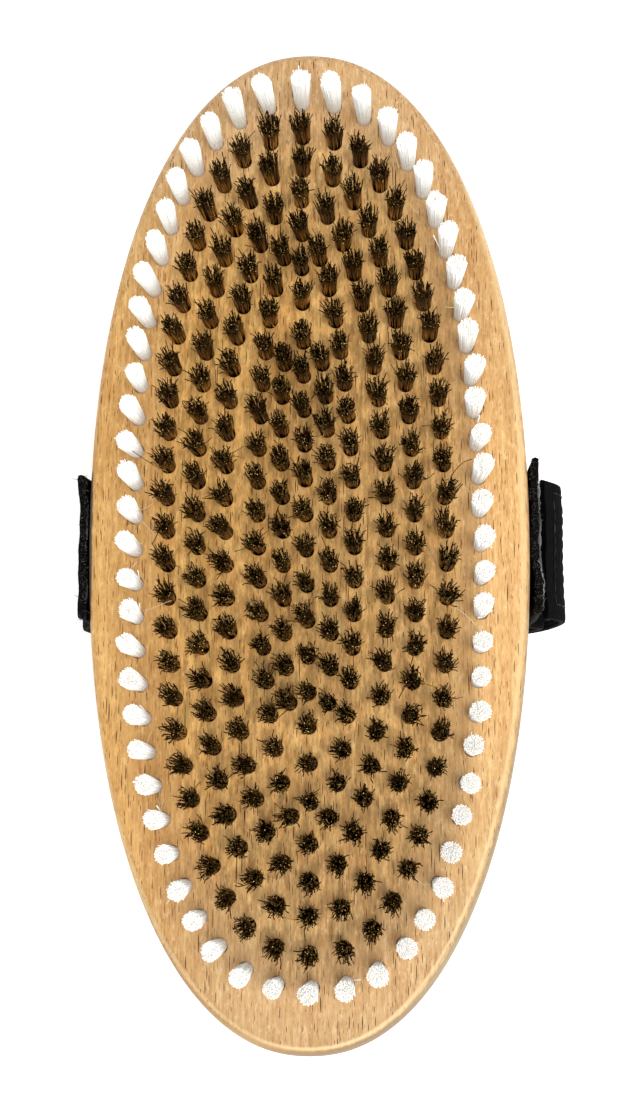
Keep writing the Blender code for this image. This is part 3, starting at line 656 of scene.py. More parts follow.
def tone_map(faces, tones, runs):
    """The bake's map, corner by corner: a face lies in its wire's column, one cell wide."""
    out = []
    for f in faces:
        k = f.shape[1]
        column = np.floor(np.clip(tones[f[:, :1]], 0, 0.9999) * 64)
        across = np.array({3: (0.15, 0.85, 0.5), 4: (0.15, 0.85, 0.85, 0.15), 6: (0.15, 0.5, 0.85, 0.85, 0.5, 0.15)}[k])[None, :]
        v = runs[f].copy()
        flat = np.ptp(v, axis=1) < 0.01
        lift = np.array({3: (0.0, 0.0, 0.012), 4: (0.0, 0.0, 0.012, 0.012), 6: (0.0, 0.0, 0.0, 0.012, 0.012, 0.012)}[k])[None, :]
        v = np.where(flat[:, None], v * 0.985 + lift, v)
        out.append(np.stack([(column + across) / 64, np.clip(v, 0.002, 0.998)], 2).reshape(-1, 2))
    return np.concatenate(out)


def wire_piece(name, verts, faces, cuts, tones, runs, materials):
    return new_mesh(name, verts, faces, materials, cuts == 0, {"tone": tones, "along": runs},
                    tone_map(faces, tones, runs), cuts if len(materials) > 1 else None)


for k, (name, at, closed) in enumerate(ROWS):
    piece = wire_piece(name + "_wires", *wires_of(name, at, closed, np.random.default_rng(1000 + k)), BRASS)
    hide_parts(name)
    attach(piece, "brush")


# ---- white filaments -----------------------------------------------------------------------------
def white():
    n = Nodes("white_filament", roughness=0.42)
    tone, along = n.attribute("tone"), n.attribute("along")
    colour = n.ramp(tone, ((0.0, (0.83, 0.805, 0.755)), (0.5, (0.94, 0.925, 0.885)), (1.0, (0.975, 0.972, 0.955))))
    # painted shade: a warm darker tint at the filaments' foot, just above the face
    colour = n.mix(n.math("MULTIPLY", n.level(along, 0.545, 0.49), 0.42), colour, (0.74, 0.64, 0.48))
    # a little light of their own stands for what the translucent filaments pass on to each other
    n.finish(colour, None, None, Specular_IOR_Level=0.30, Emission_Color=(1.0, 0.97, 0.915, 1.0), Emission_Strength=0.15)
    return n.mat


WHITE = white()


def cream():
    """Loose filaments: bent, dusty and a little yellowed."""
    n = Nodes("loose_filament_cream", roughness=0.45)
    n.finish(n.ramp(n.attribute("tone"), ((0.1, (0.50, 0.36, 0.19)), (0.5, (0.68, 0.54, 0.33)), (0.9, (0.84, 0.74, 0.55)))), None, None,
             Specular_IOR_Level=0.30)
    return n.mat


CREAM = cream()


def filaments(rng):
    """Straight filaments in locks that gather a little towards their cut ends."""
    count = 220
    t = len(WHITE_AT)
    n = t * count
    i = np.arange(count)
    angle = i * 2.39996
    radius = np.sqrt((i + 0.5) / count) * 1.42
    disc = np.stack([radius * np.cos(angle), radius * np.sin(angle)], 1)
    spin = rng.uniform(0, 2 * np.pi, t)
    c, s = np.cos(spin)[:, None], np.sin(spin)[:, None]
    base = np.stack([disc[None, :, 0] * c - disc[None, :, 1] * s, disc[None, :, 0] * s + disc[None, :, 1] * c], 2)
    base = base + rng.normal(0, 0.03, base.shape)
    out = WHITE_OUT[:, None, :]
    centre = WHITE_AT[:, None, :]
    splay = WHITE_SPLAY + rng.normal(0, 0.016, (t, 1, 1))
    sway = rng.normal(0, 0.020, (t, 1, 2))
    slant = np.clip(rng.normal(0, 0.26, (t, 2)), -0.5, 0.5)
    # locks: filaments that cling together, each lock cut a little longer or shorter
    locks = rng.normal(0, 0.80, (t, 11, 2))
    which = np.argmin(((base[:, :, None, :] - locks[:, None, :, :]) ** 2).sum(3), 2)
    lock_at = np.take_along_axis(locks, which[:, :, None].repeat(2, 2), 1)
    lock_cut = np.take_along_axis(rng.normal(0, 0.30, (t, 11)), which, 1)
    cut = WHITE_HEIGHT - 0.60 + (base * slant[:, None, :]).sum(2) + lock_cut
    length = np.minimum(cut - rng.gamma(1.2, 0.10, (t, count)), WHITE_HEIGHT - 0.02 - rng.uniform(0, 0.15, (t, count)))
    length = np.where(rng.random((t, count)) < 0.03, length - rng.uniform(0.3, 1.6, (t, count)), length)
    flare = 1.40 + 0.08 * np.clip((centre[:, :, :1] + 10) / 35, 0, 1) + rng.normal(0, 0.030, (t, count, 1)) + rng.normal(0, 0.035, (t, 1, 1))
    gather = (lock_at - base) * 0.10
    wild = (rng.random((t, count)) < 0.008)[:, :, None] * rng.normal(0, 0.8, (t, count, 2))
    loose = rng.normal(0, 0.05, (t, count, 2)) + wild
    pts = []
    for z in (np.full((t, count), WIRE_Z - FACE_Z + 0.3), np.full((t, count), 3.4), length):
        u = np.clip(z / WHITE_HEIGHT, 0, 1)[:, :, None]
        shrink = np.where(z < 0, 0.60, 1.0)[:, :, None]
        lean = np.tan(splay) * z[:, :, None] * out + sway * np.maximum(z, 0)[:, :, None]
        xy = centre + base * shrink * (1 + (flare - 1) * u) + lean + (gather + loose) * u ** 2
        pts.append(np.concatenate([xy, z[:, :, None] + FACE_Z], 2))
    lines = np.stack(pts, 2).reshape(n, 3, 3)
    ref = unit(np.column_stack([rng.normal(0, 1, (n, 2)), np.zeros(n)]))
    # flagged ends: each filament splits a little towards its tip, so the lock closes up
    wide = rng.uniform(0.092, 0.110, n)[:, None] * np.array([[0.95, 1.05, 1.32]])
    verts, faces = tubes(lines, wide, 3, ref)
    lock_tone = np.take_along_axis(rng.normal(0.0, 0.16, (t, 11)), which, 1).ravel()
    tone = np.clip(0.56 + lock_tone + rng.normal(0, 0.14, n), 0, 1)
    z = lines[:, :, 2]
    run = np.clip(np.where(z < FACE_Z, 0.5 * (z - WIRE_Z) / (FACE_Z - WIRE_Z), 0.5 + 0.5 * (z - FACE_Z) / WHITE_HEIGHT), 0, 1)
    tones = np.repeat(np.repeat(tone[:, None], 3, 1)[:, :, None], 3, 2).ravel()
    runs = np.repeat(run[:, :, None], 3, 2).ravel()
    faces, cuts = merge_same(faces, [0, 1])
    return verts, faces, cuts, tones, runs


whites = wire_piece("white_bristle_filaments", *filaments(np.random.default_rng(77)), [WHITE])
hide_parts("white_bristle_row")
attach(whites, "brush")

# ---- stray wires and filaments ------------------------------------------------------------------
BRASS_AT = np.concatenate([at for _, at, _ in ROWS])
# top views of the loose ones that stand out: from the tip, or to it, whichever end is further from a tuft
LOOSE_WIRES = (((-35.9, 16.3), (-30.1, 12.3), (-26.9, 11.0)), ((24.2, 8.7), (26.0, 10.1)), ((29.6, 10.1), (32.0, 12.5), (33.6, 12.8)),
               ((23.9, 4.1), (24.9, 5.9), (27.2, 7.9), (28.8, 8.9)), ((24.4, -0.4), (25.8, -2.4), (27.8, -3.3)),
               ((-33.0, -5.5), (-30.4, -5.7)), ((-12.2, 58.7), (-9.7, 58.0)))
LOOSE_FILAMENTS = (((-32.1, 3.3), (-30.5, 4.3)), ((-32.1, 0.4), (-29.4, -2.3)), ((-31.3, -16.6), (-26.7, -15.0)), ((28.8, 8.9), (32.7, 7.2)),
                   ((29.7, -17.1), (33.8, -20.3)), ((18.4, 78.3), (19.6, 74.2)), ((20.3, -68.0), (22.2, -70.7)))


def loose_line(points, centres, root_z, high_z, count=14):
    """From inside the nearest tuft, up its side and out through the points."""
    pts = np.array(points, float)
    near = [np.hypot(*(centres - end).T) for end in (pts[0], pts[-1])]
    if near[1].min() < near[0].min():
        pts, near = pts[::-1], near[::-1]
    root = centres[near[0].argmin()]
    xy = np.concatenate([[root * 0.85 + pts[0] * 0.15, root * 0.55 + pts[0] * 0.45], pts])
    z = np.concatenate([[root_z, root_z + 0.62 * (high_z - root_z)], np.linspace(high_z - 0.5, high_z, len(pts))])
    line3 = np.column_stack([xy, z])
    for _ in range(3):
        line3 = np.concatenate([line3[:1], np.stack([line3[:-1] * 0.75 + line3[1:] * 0.25, line3[:-1] * 0.25 + line3[1:] * 0.75], 1).reshape(-1, 3),
                                line3[-1:]])
    run = np.concatenate([[0], np.cumsum(np.linalg.norm(np.diff(line3, axis=0), axis=1))])
    want = np.linspace(0, run[-1], count)
    return np.stack([np.interp(want, run, line3[:, i]) for i in range(3)], 1)


def stray_piece(name, named, centres, low_z, high, extra, reach, radius, material, rng, weights=None):
    lines = [loose_line(p, centres, low_z, rng.uniform(*high)) for p in named]
    pick = rng.choice(len(centres), extra, p=weights)
    for c in centres[pick]:
        a = rng.uniform(0, 2 * np.pi)
        run = rng.uniform(*reach)
        turn = rng.normal(0, 0.5)
        mid = c + 0.55 * run * np.array([math.cos(a), math.sin(a)])
        end = mid + 0.45 * run * np.array([math.cos(a + turn), math.sin(a + turn)])
        start = c + 1.7 * np.array([math.cos(a), math.sin(a)])
        lines.append(loose_line((start, mid, end) if run > 3.4 else (start, end), c[None], low_z, rng.uniform(*high)))
    lines = np.array(lines)
    n, m, _ = lines.shape
    wave = rng.uniform(0.03, 0.10, (n, 1)) * np.sin(np.linspace(0, 1, m)[None] * rng.uniform(6, 16, (n, 1)) + rng.uniform(0, 6, (n, 1)))
    lines[:, :, :2] += wave[:, :, None] * unit(rng.normal(0, 1, (n, 1, 2)))
    verts, faces = tubes(lines, rng.uniform(*radius, n), 4, np.tile([[0.1, 0.2, 1.0]], (n, 1)))
    tones = np.repeat(np.clip(rng.normal(0.5, 0.2, n), 0.02, 0.98), m * 4)
    runs = np.repeat(np.tile(np.linspace(0.52, 0.74, m), n), 4)
    faces, cuts = merge_same(faces, [0, 1])
    ob = wire_piece(name, verts, faces, cuts, tones, runs, [material])
    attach(ob, "brush")
    return ob


rng = np.random.default_rng(88)
middle = np.exp(-((BRASS_AT[:, 1] - 4.0) / 26.0) ** 2) + 0.25
stray_piece("loose_brass_wires", LOOSE_WIRES, BRASS_AT, 57.0, (63.5, 65.6), 64, (2.6, 5.2), (0.085, 0.115), BRASS[0], rng, middle / middle.sum())
stray_piece("loose_filaments", LOOSE_FILAMENTS, WHITE_AT, 57.0, (63.5, 66.5), 26, (2.4, 4.6), (0.06, 0.085), CREAM, rng)

# ---- strap: middle lines in the XZ plane, as in the frame -----------------------------------------
WEB_T, WALL_X, MID = 1.7, 46.9, 0.85
LEFT_BULGE, RIGHT_BULGE, FREE_END = (-51.6, 20.0), (54.1, 19.0), (49.9, 28.6)
HINGE_Z, TAIL_X, SPLIT_X = 38.2, 34.0, 24.0
INNER_LIFT = 4.4               # from the outer half's middle line to the inner half's
TAB_HIGH = 52.3


def bezier(p0, t0, p1, t1, steps=36):
    """Points of a cubic from p0 (leaving along t0) to p1 (arriving along t1), without p0."""
    u = np.linspace(0, 1, steps + 1)[1:, None]
    v = 1 - u
    p0, t0, p1, t1 = (np.array(a, float) for a in (p0, t0, p1, t1))
    return v ** 3 * p0 + 3 * v * v * u * (p0 + t0) + 3 * v * u * u * (p1 - t1) + u ** 3 * p1


def line(*points):
    return np.array(points, float)


def directions(path):
    t = np.empty_like(path)
    t[1:-1] = path[2:] - path[:-2]
    t[0], t[-1] = path[1] - path[0], path[-1] - path[-2]
    t = unit(t)
    return t, np.stack([-t[:, 1], t[:, 0]], 1)


def offset(path, by):
    """The path moved to its left, which is towards the board."""
    return path + directions(path)[1] * by


def evened(path, step):
    """The path at equal distances of about step, smoothed where two curves meet."""
    run = np.concatenate([[0], np.cumsum(np.linalg.norm(np.diff(path, axis=0), axis=1))])
    n = max(int(round(run[-1] / step / 4)) * 4, 4)
    s = np.linspace(0, run[-1], n + 1)
    out = np.stack([np.interp(s, run, path[:, i]) for i in (0, 1)], 1)
    k = max(int(round(1.2 / step)), 1)
    pad = np.concatenate([2 * out[:1] - out[1:k + 1][::-1], out, 2 * out[-1:] - out[-k - 1:-1][::-1]])
    w = np.hanning(2 * k + 3)[1:-1]
    w /= w.sum()
    return np.stack([np.convolve(pad[:, i], w, "valid") for i in (0, 1)], 1), s


def piece_of(path, start, end):
    run = np.concatenate([[0], np.cumsum(np.linalg.norm(np.diff(path, axis=0), axis=1))])
    end = end if end > 0 else run[-1] + end
    s = np.concatenate([[start], run[(run > start + 0.2) & (run < end - 0.2)], [end]])
    return np.stack([np.interp(s, run, path[:, i]) for i in (0, 1)], 1)


TAIL = np.concatenate([line((TAIL_X, MID), (38.0, MID)), bezier((38.0, MID), (9.5, 0), RIGHT_BULGE, (0, 10.0)),
                       bezier(RIGHT_BULGE, (0, 4.0), FREE_END, (-2.4, 3.6), 18)])
PATH_A = np.concatenate([line((-47.05, TAB_HIGH), (-46.95, 48.0), (-WALL_X, 43.5), (-WALL_X, HINGE_Z)),
                         bezier((-WALL_X, HINGE_Z), (0, -6.5), LEFT_BULGE, (0, -5.5)),
                         bezier(LEFT_BULGE, (0, -10.5), (-36.0, MID), (9.5, 0)), line((SPLIT_X, MID))])
PATH_B = np.concatenate([line((SPLIT_X, MID)), TAIL])
INNER = np.concatenate([line((-16.0, MID + INNER_LIFT)), offset(TAIL, INNER_LIFT)])
PATH_C = np.concatenate([INNER, bezier(INNER[-1], (-0.4, 3.2), (WALL_X, HINGE_Z), (0.15, 3.0), 20),
                         line((WALL_X, 43.5), (46.85, 48.0), (46.75, TAB_HIGH))])


def smoothstep(x, low, high):
    t = np.clip((x - low) / (high - low), 0, 1)
    return t * t * (3 - 2 * t)


def web(path, edges, thick=WEB_T, pitch=0.8, rib=0.17, cols=40, jag=(0.0, 0.12), seed=0, roll=0.10):
    """A woven band along the path: ribs across it every pitch, a plain weave over them, thin round edges.
    edges(x, z) gives its two sides in Y. Returns verts, faces, the bake's map, and how deep each point lies."""
    rng = np.random.default_rng(seed)
    mid, s = evened(path, pitch / 4)
    t, nrm = directions(mid)
    n, m = len(mid), cols
    low, high = edges(mid[:, 0], mid[:, 1])
    share = np.linspace(0, 1, m)
    y = low[:, None] + 0.22 + (high - low - 0.44)[:, None] * share[None]
    phase = np.arange(n) % 4
    depth = np.array([1.0, 0.34, 0.0, 0.34])[phase][:, None] * rib + 0.035 * ((np.arange(m)[None] + (np.arange(n) // 4)[:, None]) % 2)
    depth = depth + rng.uniform(0, 0.02, depth.shape)
    depth[:, 0] += 0.16
    depth[:, -1] += 0.16
    wave = roll * (np.sin(s[:, None] / 9.0 + y / 7.0 + seed) + 0.6 * np.sin(s[:, None] / 5.3 - y / 4.6 + 2.1 * seed))
    calm = smoothstep(np.minimum(s, s[-1] - s), 0, 3)[:, None] * 0.7 + 0.3
    wave = wave * calm * smoothstep(mid[:, 1], 1.0, 6.0)[:, None]        # flat where it lies on the floor
    along = np.zeros((n, m))
    along[0] -= rng.uniform(0, 1, m) * jag[0]
    along[-1] += rng.uniform(0, 1, m) * jag[1]

    def place(h, yy, more):
        xz = mid[:, None, :] + nrm[:, None, :] * (h + wave[:, :h.shape[1]] if h.shape[1] == m else h)[:, :, None] + t[:, None, :] * more[:, :, None]
        return np.stack([xz[:, :, 0], yy, xz[:, :, 1]], 2)

    left = place(thick / 2 - depth, y, along)
    right = place(-thick / 2 + depth, y, along)
    side_high = place(wave[:, -1:], high[:, None] + rng.uniform(-0.04, 0.04, (n, 1)), along[:, -1:])
    side_low = place(wave[:, :1], low[:, None] + rng.uniform(-0.04, 0.04, (n, 1)), along[:, :1])
    ring = np.concatenate([left, side_high, right[:, ::-1], side_low], 1)
    k = 2 * m + 2
    idx = np.arange(n * k).reshape(n, k)
    nxt = np.roll(idx, -1, 1)
    quads = np.stack([idx[:-1], idx[1:], nxt[1:], nxt[:-1]], -1).reshape(-1, 4)
    u0 = np.broadcast_to(np.arange(k) / k, (n - 1, k))
    v0 = np.broadcast_to((s / s[-1] * 0.97)[:, None], (n, k))
    quad_uv = np.stack([np.stack([u0, u0, u0 + 1 / k, u0 + 1 / k], -1),
                        np.stack([v0[:-1], v0[1:], v0[1:], v0[:-1]], -1)], -1).reshape(-1, 2)
    j = np.arange(m - 1)
    cap = np.stack([j, j + 1, 2 * m - j - 1, 2 * m - j], 1)
    tri = np.array([[m - 1, m, m + 1], [2 * m, 2 * m + 1, 0]])
    last = (n - 1) * k
    caps = np.concatenate([cap, cap[:, ::-1] + last])
    tris = np.concatenate([tri, tri[:, ::-1] + last])
    cu = np.concatenate([j, j]) / (2 * m)
    cv = np.repeat([0.975, 0.985], m - 1)
    cap_uv = np.stack([np.stack([cu, cu + 0.4 / m, cu + 0.4 / m, cu], 1), np.stack([cv, cv, cv + 0.007, cv + 0.007], 1)], -1).reshape(-1, 2)
    tri_uv = np.tile(np.array([[0.6, 0.99], [0.61, 0.99], [0.6, 0.996]]), (4, 1))
    deep = np.concatenate([depth, depth[:, -1:], depth[:, ::-1], depth[:, :1]], 1)
    return ring.reshape(-1, 3), [tris, quads, caps], np.concatenate([tri_uv, quad_uv, cap_uv]), deep.ravel()


def web_piece(name, built, material):
    verts, (tris, quads, caps), uv, deep = built
    faces = [tris, np.concatenate([quads, caps])]
    smooth = np.concatenate([np.zeros(len(tris), bool), np.ones(len(quads), bool), np.zeros(len(caps), bool)])
    return new_mesh(name, verts, faces, material, smooth, {"deep": deep}, uv)


def webbing(name, colour, pale, roughness):
    """Black polyester over rubber: near-black ribs, painted shade in the valleys between them and along the edges, a
    dusty cast here and there.
    """
    n = Nodes(name, roughness=roughness)
    p = n.object_mm()
    deep = n.level(n.attribute("deep"), 0.0, 0.16)
    dust = n.noise(n.scaled(p, (0.11, 0.09, 0.11)), 1.0, 3.0, 0.6)
    yarn = n.noise(n.scaled(p, (2.6, 0.8, 2.6)), 1.0, 2.0, 0.6)
    base = n.mix(n.level(yarn, 0.25, 0.75), colour, pale)
    base = n.mix(n.math("MULTIPLY", n.level(dust, 0.54, 0.76), 0.30), base, tuple(1.9 * c for c in pale))
    # painted shade: darker in the valleys between the ribs and along the edges
    base = n.mix(n.math("MULTIPLY", deep, 0.65), base, tuple(0.35 * c for c in colour))
    fine = n.noise(n.scaled(p, (7.0, 3.0, 7.0)), 1.0, 1.0)
    rough = n.level(yarn, 0.2, 0.8, roughness + 0.10, roughness - 0.10, smooth=False)
    n.finish(base, rough, n.bump(fine, 0.30, 0.00008), Specular_IOR_Level=0.055)
    return n.mat


WEBBING = webbing("black_webbing_weave", (0.0010, 0.0011, 0.0014), (0.0034, 0.0038, 0.0044), 0.70)
HOOK_BASE = webbing("hook_tape_base", (0.006, 0.006, 0.007), (0.012, 0.012, 0.013), 0.60)
LOOP_BASE = webbing("loop_tape_base", (0.004, 0.004, 0.005), (0.010, 0.010, 0.011), 0.85)


def thread(name, dark, pale, roughness):
    n = Nodes(name, roughness=roughness)
    n.finish(n.ramp(n.attribute("tone"), ((0.0, dark), (0.75, pale), (1.0, tuple(min(1.0, 3.2 * c) for c in pale)))), None, None,
             Specular_IOR_Level=0.2)
    return n.mat


THREAD = thread("strap_thread", (0.004, 0.004, 0.005), (0.012, 0.012, 0.014), 0.6)
FRAY = thread("frayed_yarn", (0.010, 0.009, 0.008), (0.055, 0.050, 0.044), 0.7)
PALE_YARN = thread("frayed_rubber_yarn", (0.10, 0.10, 0.10), (0.24, 0.24, 0.24), 0.7)
PLASTIC_HOOK = thread("hook_filament", (0.012, 0.012, 0.013), (0.030, 0.030, 0.032), 0.35)
CURL = thread("loop_yarn", (0.010, 0.010, 0.011), (0.026, 0.026, 0.028), 0.8)


def strands(name, lines, radius, sides, material, rng):
    """Fine tubes with a tone each."""
    ref = unit(rng.normal(0, 1, (len(lines), 3)))
    verts, faces = tubes(lines, radius, sides, ref)
    tone = rng.uniform(0, 0.999, len(lines))
    tones = np.repeat(tone, lines.shape[1] * sides)
    runs = np.repeat(np.tile(np.linspace(0, 1, lines.shape[1]), len(lines)), sides)
    faces, cuts = merge_same(faces, [0, 1])
    return new_mesh(name, verts, faces, material, cuts == 0, {"tone": tones}, tone_map(faces, tones, runs))


# how far each half lies up and down in Y: the tabs are cut a little short, and the strap lies a little askew
def edges_a(x, z):
    side = smoothstep(z, 3.0, 22.0)                 # 0 on the underside, 1 up the wall
    tab = smoothstep(z, 34.0, 40.0)
    return -15.7 - 0.4 * side - 0.9 * tab, 16.3 - 2.0 * side - 0.9 * tab


def edges_b(x, z):
    up = smoothstep(z, 2.0, 19.0)
    return -15.7 + 0.6 * up, 16.3 - 0.6 * up


def edges_c(x, z):
    side = smoothstep(z, 6.0, 30.0)
    return -15.9 - 0.9 * side, 16.2 - 0.5 * side


def bow_left(v):
    """The left tab's top corner leans out, and its edge wanders."""
    up = smoothstep(v[:, 2], 43.5, TAB_HIGH)
    v = v.copy()
    v[:, 0] += up * (0.10 * np.sin(v[:, 1] / 2.3) + 0.07 * np.sin(v[:, 1] / 0.9 + 1.0) - 0.55 * smoothstep(v[:, 1], 7.5, 13.2))
    v[:, 2] += up * 0.12 * np.sin(v[:, 1] / 1.7) - up * 1.2 * smoothstep(v[:, 1], 12.2, 14.0) ** 2
    return v


def bow_right(v):
    """The right tab bows out below its middle; the strap under it keeps close to the wall at its upper end."""
    up = smoothstep(v[:, 2], 42.5, TAB_HIGH)
    v = v.copy()
    v[:, 0] += up * (0.62 * np.exp(-((v[:, 1] + 12.4) / 4.2) ** 2) + 0.09 * np.sin(v[:, 1] / 2.0) + 0.06 * np.sin(v[:, 1] / 0.8)
                     + 0.10 * smoothstep(v[:, 1], 8.0, 15.5))
    v[:, 2] += up * 0.15 * np.sin(v[:, 1] / 2.1 + 1.0)
    belly = smoothstep(v[:, 2], 7.0, 15.0) * (1 - smoothstep(v[:, 2], 29.0, 38.0))
    v[:, 0] -= belly * 3.0 * smoothstep(v[:, 1], 3.0, 9.5) * (v[:, 0] > 0)
    return v


def bow_tail(v):
    """The tail's free end wanders a little in and out."""
    up = smoothstep(v[:, 2], 12.0, 28.0)
    v = v.copy()
    v[:, 0] += up * (0.22 * np.sin(v[:, 1] / 4.1 + 0.6) + 0.06 * np.sin(v[:, 1] / 1.1)) + smoothstep(v[:, 2], 8.0, 19.0) * (0.3 * smoothstep(v[:, 1], -2.0, 14.0) + 0.45 * smoothstep(v[:, 1], 4.0, -15.0))
    return v


def bowed(built, how):
    return (how(built[0]), *built[1:])


strap_a = web_piece("hook_strap_webbing", bowed(web(PATH_A, edges_a, seed=1, jag=(0.14, 0.0), roll=0.07), bow_left), WEBBING)
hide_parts("left_strap_end", "hook_strap")
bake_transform(strap_a)

strap_b = web_piece("hook_tail_webbing", bowed(web(PATH_B, edges_b, seed=2, roll=0.05), bow_tail), WEBBING)
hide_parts("hook_strap_tail")
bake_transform(strap_b)

strap_c = web_piece("loop_strap_webbing", bowed(web(PATH_C, edges_c, seed=3, jag=(0.12, 0.14), roll=0.07), bow_right), WEBBING)
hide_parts("right_strap_end", "loop_strap")
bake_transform(strap_c)


# hook tape on the tail's inner face, loop tape on the inner half's outer face
def tape_edges(x, z):
    return np.full(len(x), -14.5), np.full(len(x), 14.5)


def over(path, s_at, y, lift, along=0.0):
    """A point lift above the path (to its left) at distance s_at, moved by along."""
    mid, s = evened(path, 0.2)
    t, nrm = directions(mid)
    at = np.stack([np.interp(s_at, s, mid[:, i]) for i in (0, 1)], -1)
    tt = unit(np.stack([np.interp(s_at, s, t[:, i]) for i in (0, 1)], -1))
    nn = np.stack([-tt[..., 1], tt[..., 0]], -1)
    xz = at + nn * np.asarray(lift)[..., None] + tt * np.asarray(along)[..., None]
    return np.stack([xz[..., 0], np.broadcast_to(y, xz.shape[:-1]), xz[..., 1]], -1)


HOOK_PATH = piece_of(TAIL, 4.0, -2.5)
hook_base = web_piece("hook_tape_band", bowed(web(offset(HOOK_PATH, 1.08), tape_edges, 0.40, 0.55, 0.05, 24, (0.0, 0.0), 5, 0.0), bow_tail), HOOK_BASE)
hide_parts("hook_tape")
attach(hook_base, "hook_tail")


def hooks(rng):
    length = np.linalg.norm(np.diff(HOOK_PATH, axis=0), axis=1).sum()
    s = np.arange(1.0, length - 0.8, 1.15)
    y = np.arange(-13.6, 13.7, 0.95)
    ss, yy = (g.ravel() for g in np.meshgrid(s, y, indexing="ij"))
    ss = ss + rng.normal(0, 0.05, ss.shape) + 0.28 * (np.arange(len(ss)) % 2)
    yy = yy + rng.normal(0, 0.05, yy.shape)
    way = np.where((np.arange(len(ss)) // 2) % 2 == 0, 1.0, -1.0)
    pts = [over(HOOK_PATH, ss, yy, 1.20 + h, a * way) for h, a in ((0.0, -0.05), (0.50, -0.08), (0.86, 0.02), (0.95, 0.20), (0.76, 0.33))]
    return np.stack([bow_tail(p) for p in pts], 1)


hook_pile = strands("hook_tape_hooks", hooks(np.random.default_rng(31)), 0.075, 4, PLASTIC_HOOK, np.random.default_rng(32))
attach(hook_pile, "hook_tail")

LOOP_PATH = np.concatenate([line((-14.5, MID + INNER_LIFT)), offset(piece_of(TAIL, 0.0, -4.0), INNER_LIFT)])
loop_base = web_piece("loop_tape_band", bowed(web(offset(LOOP_PATH, -1.06), tape_edges, 0.36, 0.6, 0.05, 24, (0.0, 0.0), 6, 0.0), bow_right), LOOP_BASE)
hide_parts("loop_tape")
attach(loop_base, "loop_half")


def curls(rng, count=3600):
    length = np.linalg.norm(np.diff(LOOP_PATH, axis=0), axis=1).sum()
    s = rng.uniform(0.4, length - 0.4, count)
    y = rng.uniform(-14.2, 14.2, count)
    a = rng.uniform(0, 2 * np.pi, count)
    r = rng.uniform(0.28, 0.62, count)
    tall = rng.uniform(0.55, 1.10, count)
    pts = []
    for k, u in enumerate(np.linspace(0, 1, 6)):
        w = (u - 0.5) * 2 * r * (1 + 0.3 * np.sin(np.pi * u))
        pts.append(over(LOOP_PATH, s, y + w * np.sin(a), -1.20 - tall * np.sin(np.pi * u), w * np.cos(a)))
    return np.stack([bow_right(p) for p in pts], 1)


loop_pile = strands("loop_tape_curls", curls(np.random.default_rng(41)), 0.035, 3, CURL, np.random.default_rng(42))
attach(loop_pile, "loop_half")


def stitches(path, y_lines, s_lines, lift, y_span, s_span, how, rng, pitch=2.6, length=2.0):
    """Runs of stitches: along the path at each of y_lines, and across it at each of s_lines."""
    out = []
    for y in y_lines:
        s = np.arange(s_span[0], s_span[1] - length, pitch)
        s = s + rng.normal(0, 0.06, s.shape)
        yy = y + rng.normal(0, 0.06, s.shape)
        out.append(np.stack([over(path, s + length * u, yy, lift * h) for u, h in ((0.0, 0.86), (0.15, 1.0), (0.5, 1.05), (0.85, 1.0), (1.0, 0.86))], 1))
    for at in s_lines:
        y = np.arange(y_span[0], y_span[1] - length, pitch)
        y = y + rng.normal(0, 0.06, y.shape)
        out.append(np.stack([over(path, np.full(y.shape, at) + 0.04 * np.sin(y), y + length * u, lift * h) for u, h in ((0.0, 0.86), (0.15, 1.0), (0.5, 1.05), (0.85, 1.0), (1.0, 0.86))], 1))
    lines = np.concatenate(out)
    return how(lines.reshape(-1, 3)).reshape(lines.shape)


TAIL_RUN = np.linalg.norm(np.diff(TAIL, axis=0), axis=1).sum()
rng = np.random.default_rng(51)
seams = strands("hook_tail_stitching",
                stitches(TAIL, (-11.6, 13.2), (TAIL_RUN - 3.6, TAIL_RUN - 9.6, TAIL_RUN - 12.0), -0.80, (-11.4, 13.2), (7.5, TAIL_RUN - 3.0), bow_tail, rng),
                0.13, 6, THREAD, rng)
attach(seams, "hook_tail")
loop_seams = strands("loop_tape_stitching", stitches(LOOP_PATH, (-13.2, 13.2), (2.0,), 0.80, (-13.0, 13.2), (2.0, 56.0), bow_right, rng), 0.14, 6, THREAD, rng)
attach(loop_seams, "loop_half")


# cut ends: short frayed yarns, a few pale ones where the rubber shows
def fray(side, count, low, high, x_mid, how, rng):
    y = rng.uniform(low, high, count)
    x = side * x_mid + rng.uniform(-0.78, 0.78, count)
    z = np.full(count, TAB_HIGH - 0.35)
    tall = 0.30 + rng.gamma(1.6, 0.17, count) + (rng.random(count) < 0.012) * rng.uniform(0.3, 0.9, count)
    lean = rng.normal(0, 0.30, (count, 2))
    bend = rng.normal(0, 0.22, (count, 2))
    pts = []
    for u in (0.0, 0.4, 0.75, 1.0):
        pts.append(np.stack([x + (lean[:, 0] * u + bend[:, 0] * u * u) * tall, y + (lean[:, 1] * u + bend[:, 1] * u * u) * tall,
                             z + tall * (u - 0.15 * u * u)], 1))
    lines = np.stack(pts, 1)
    return how(lines.reshape(-1, 3)).reshape(lines.shape)


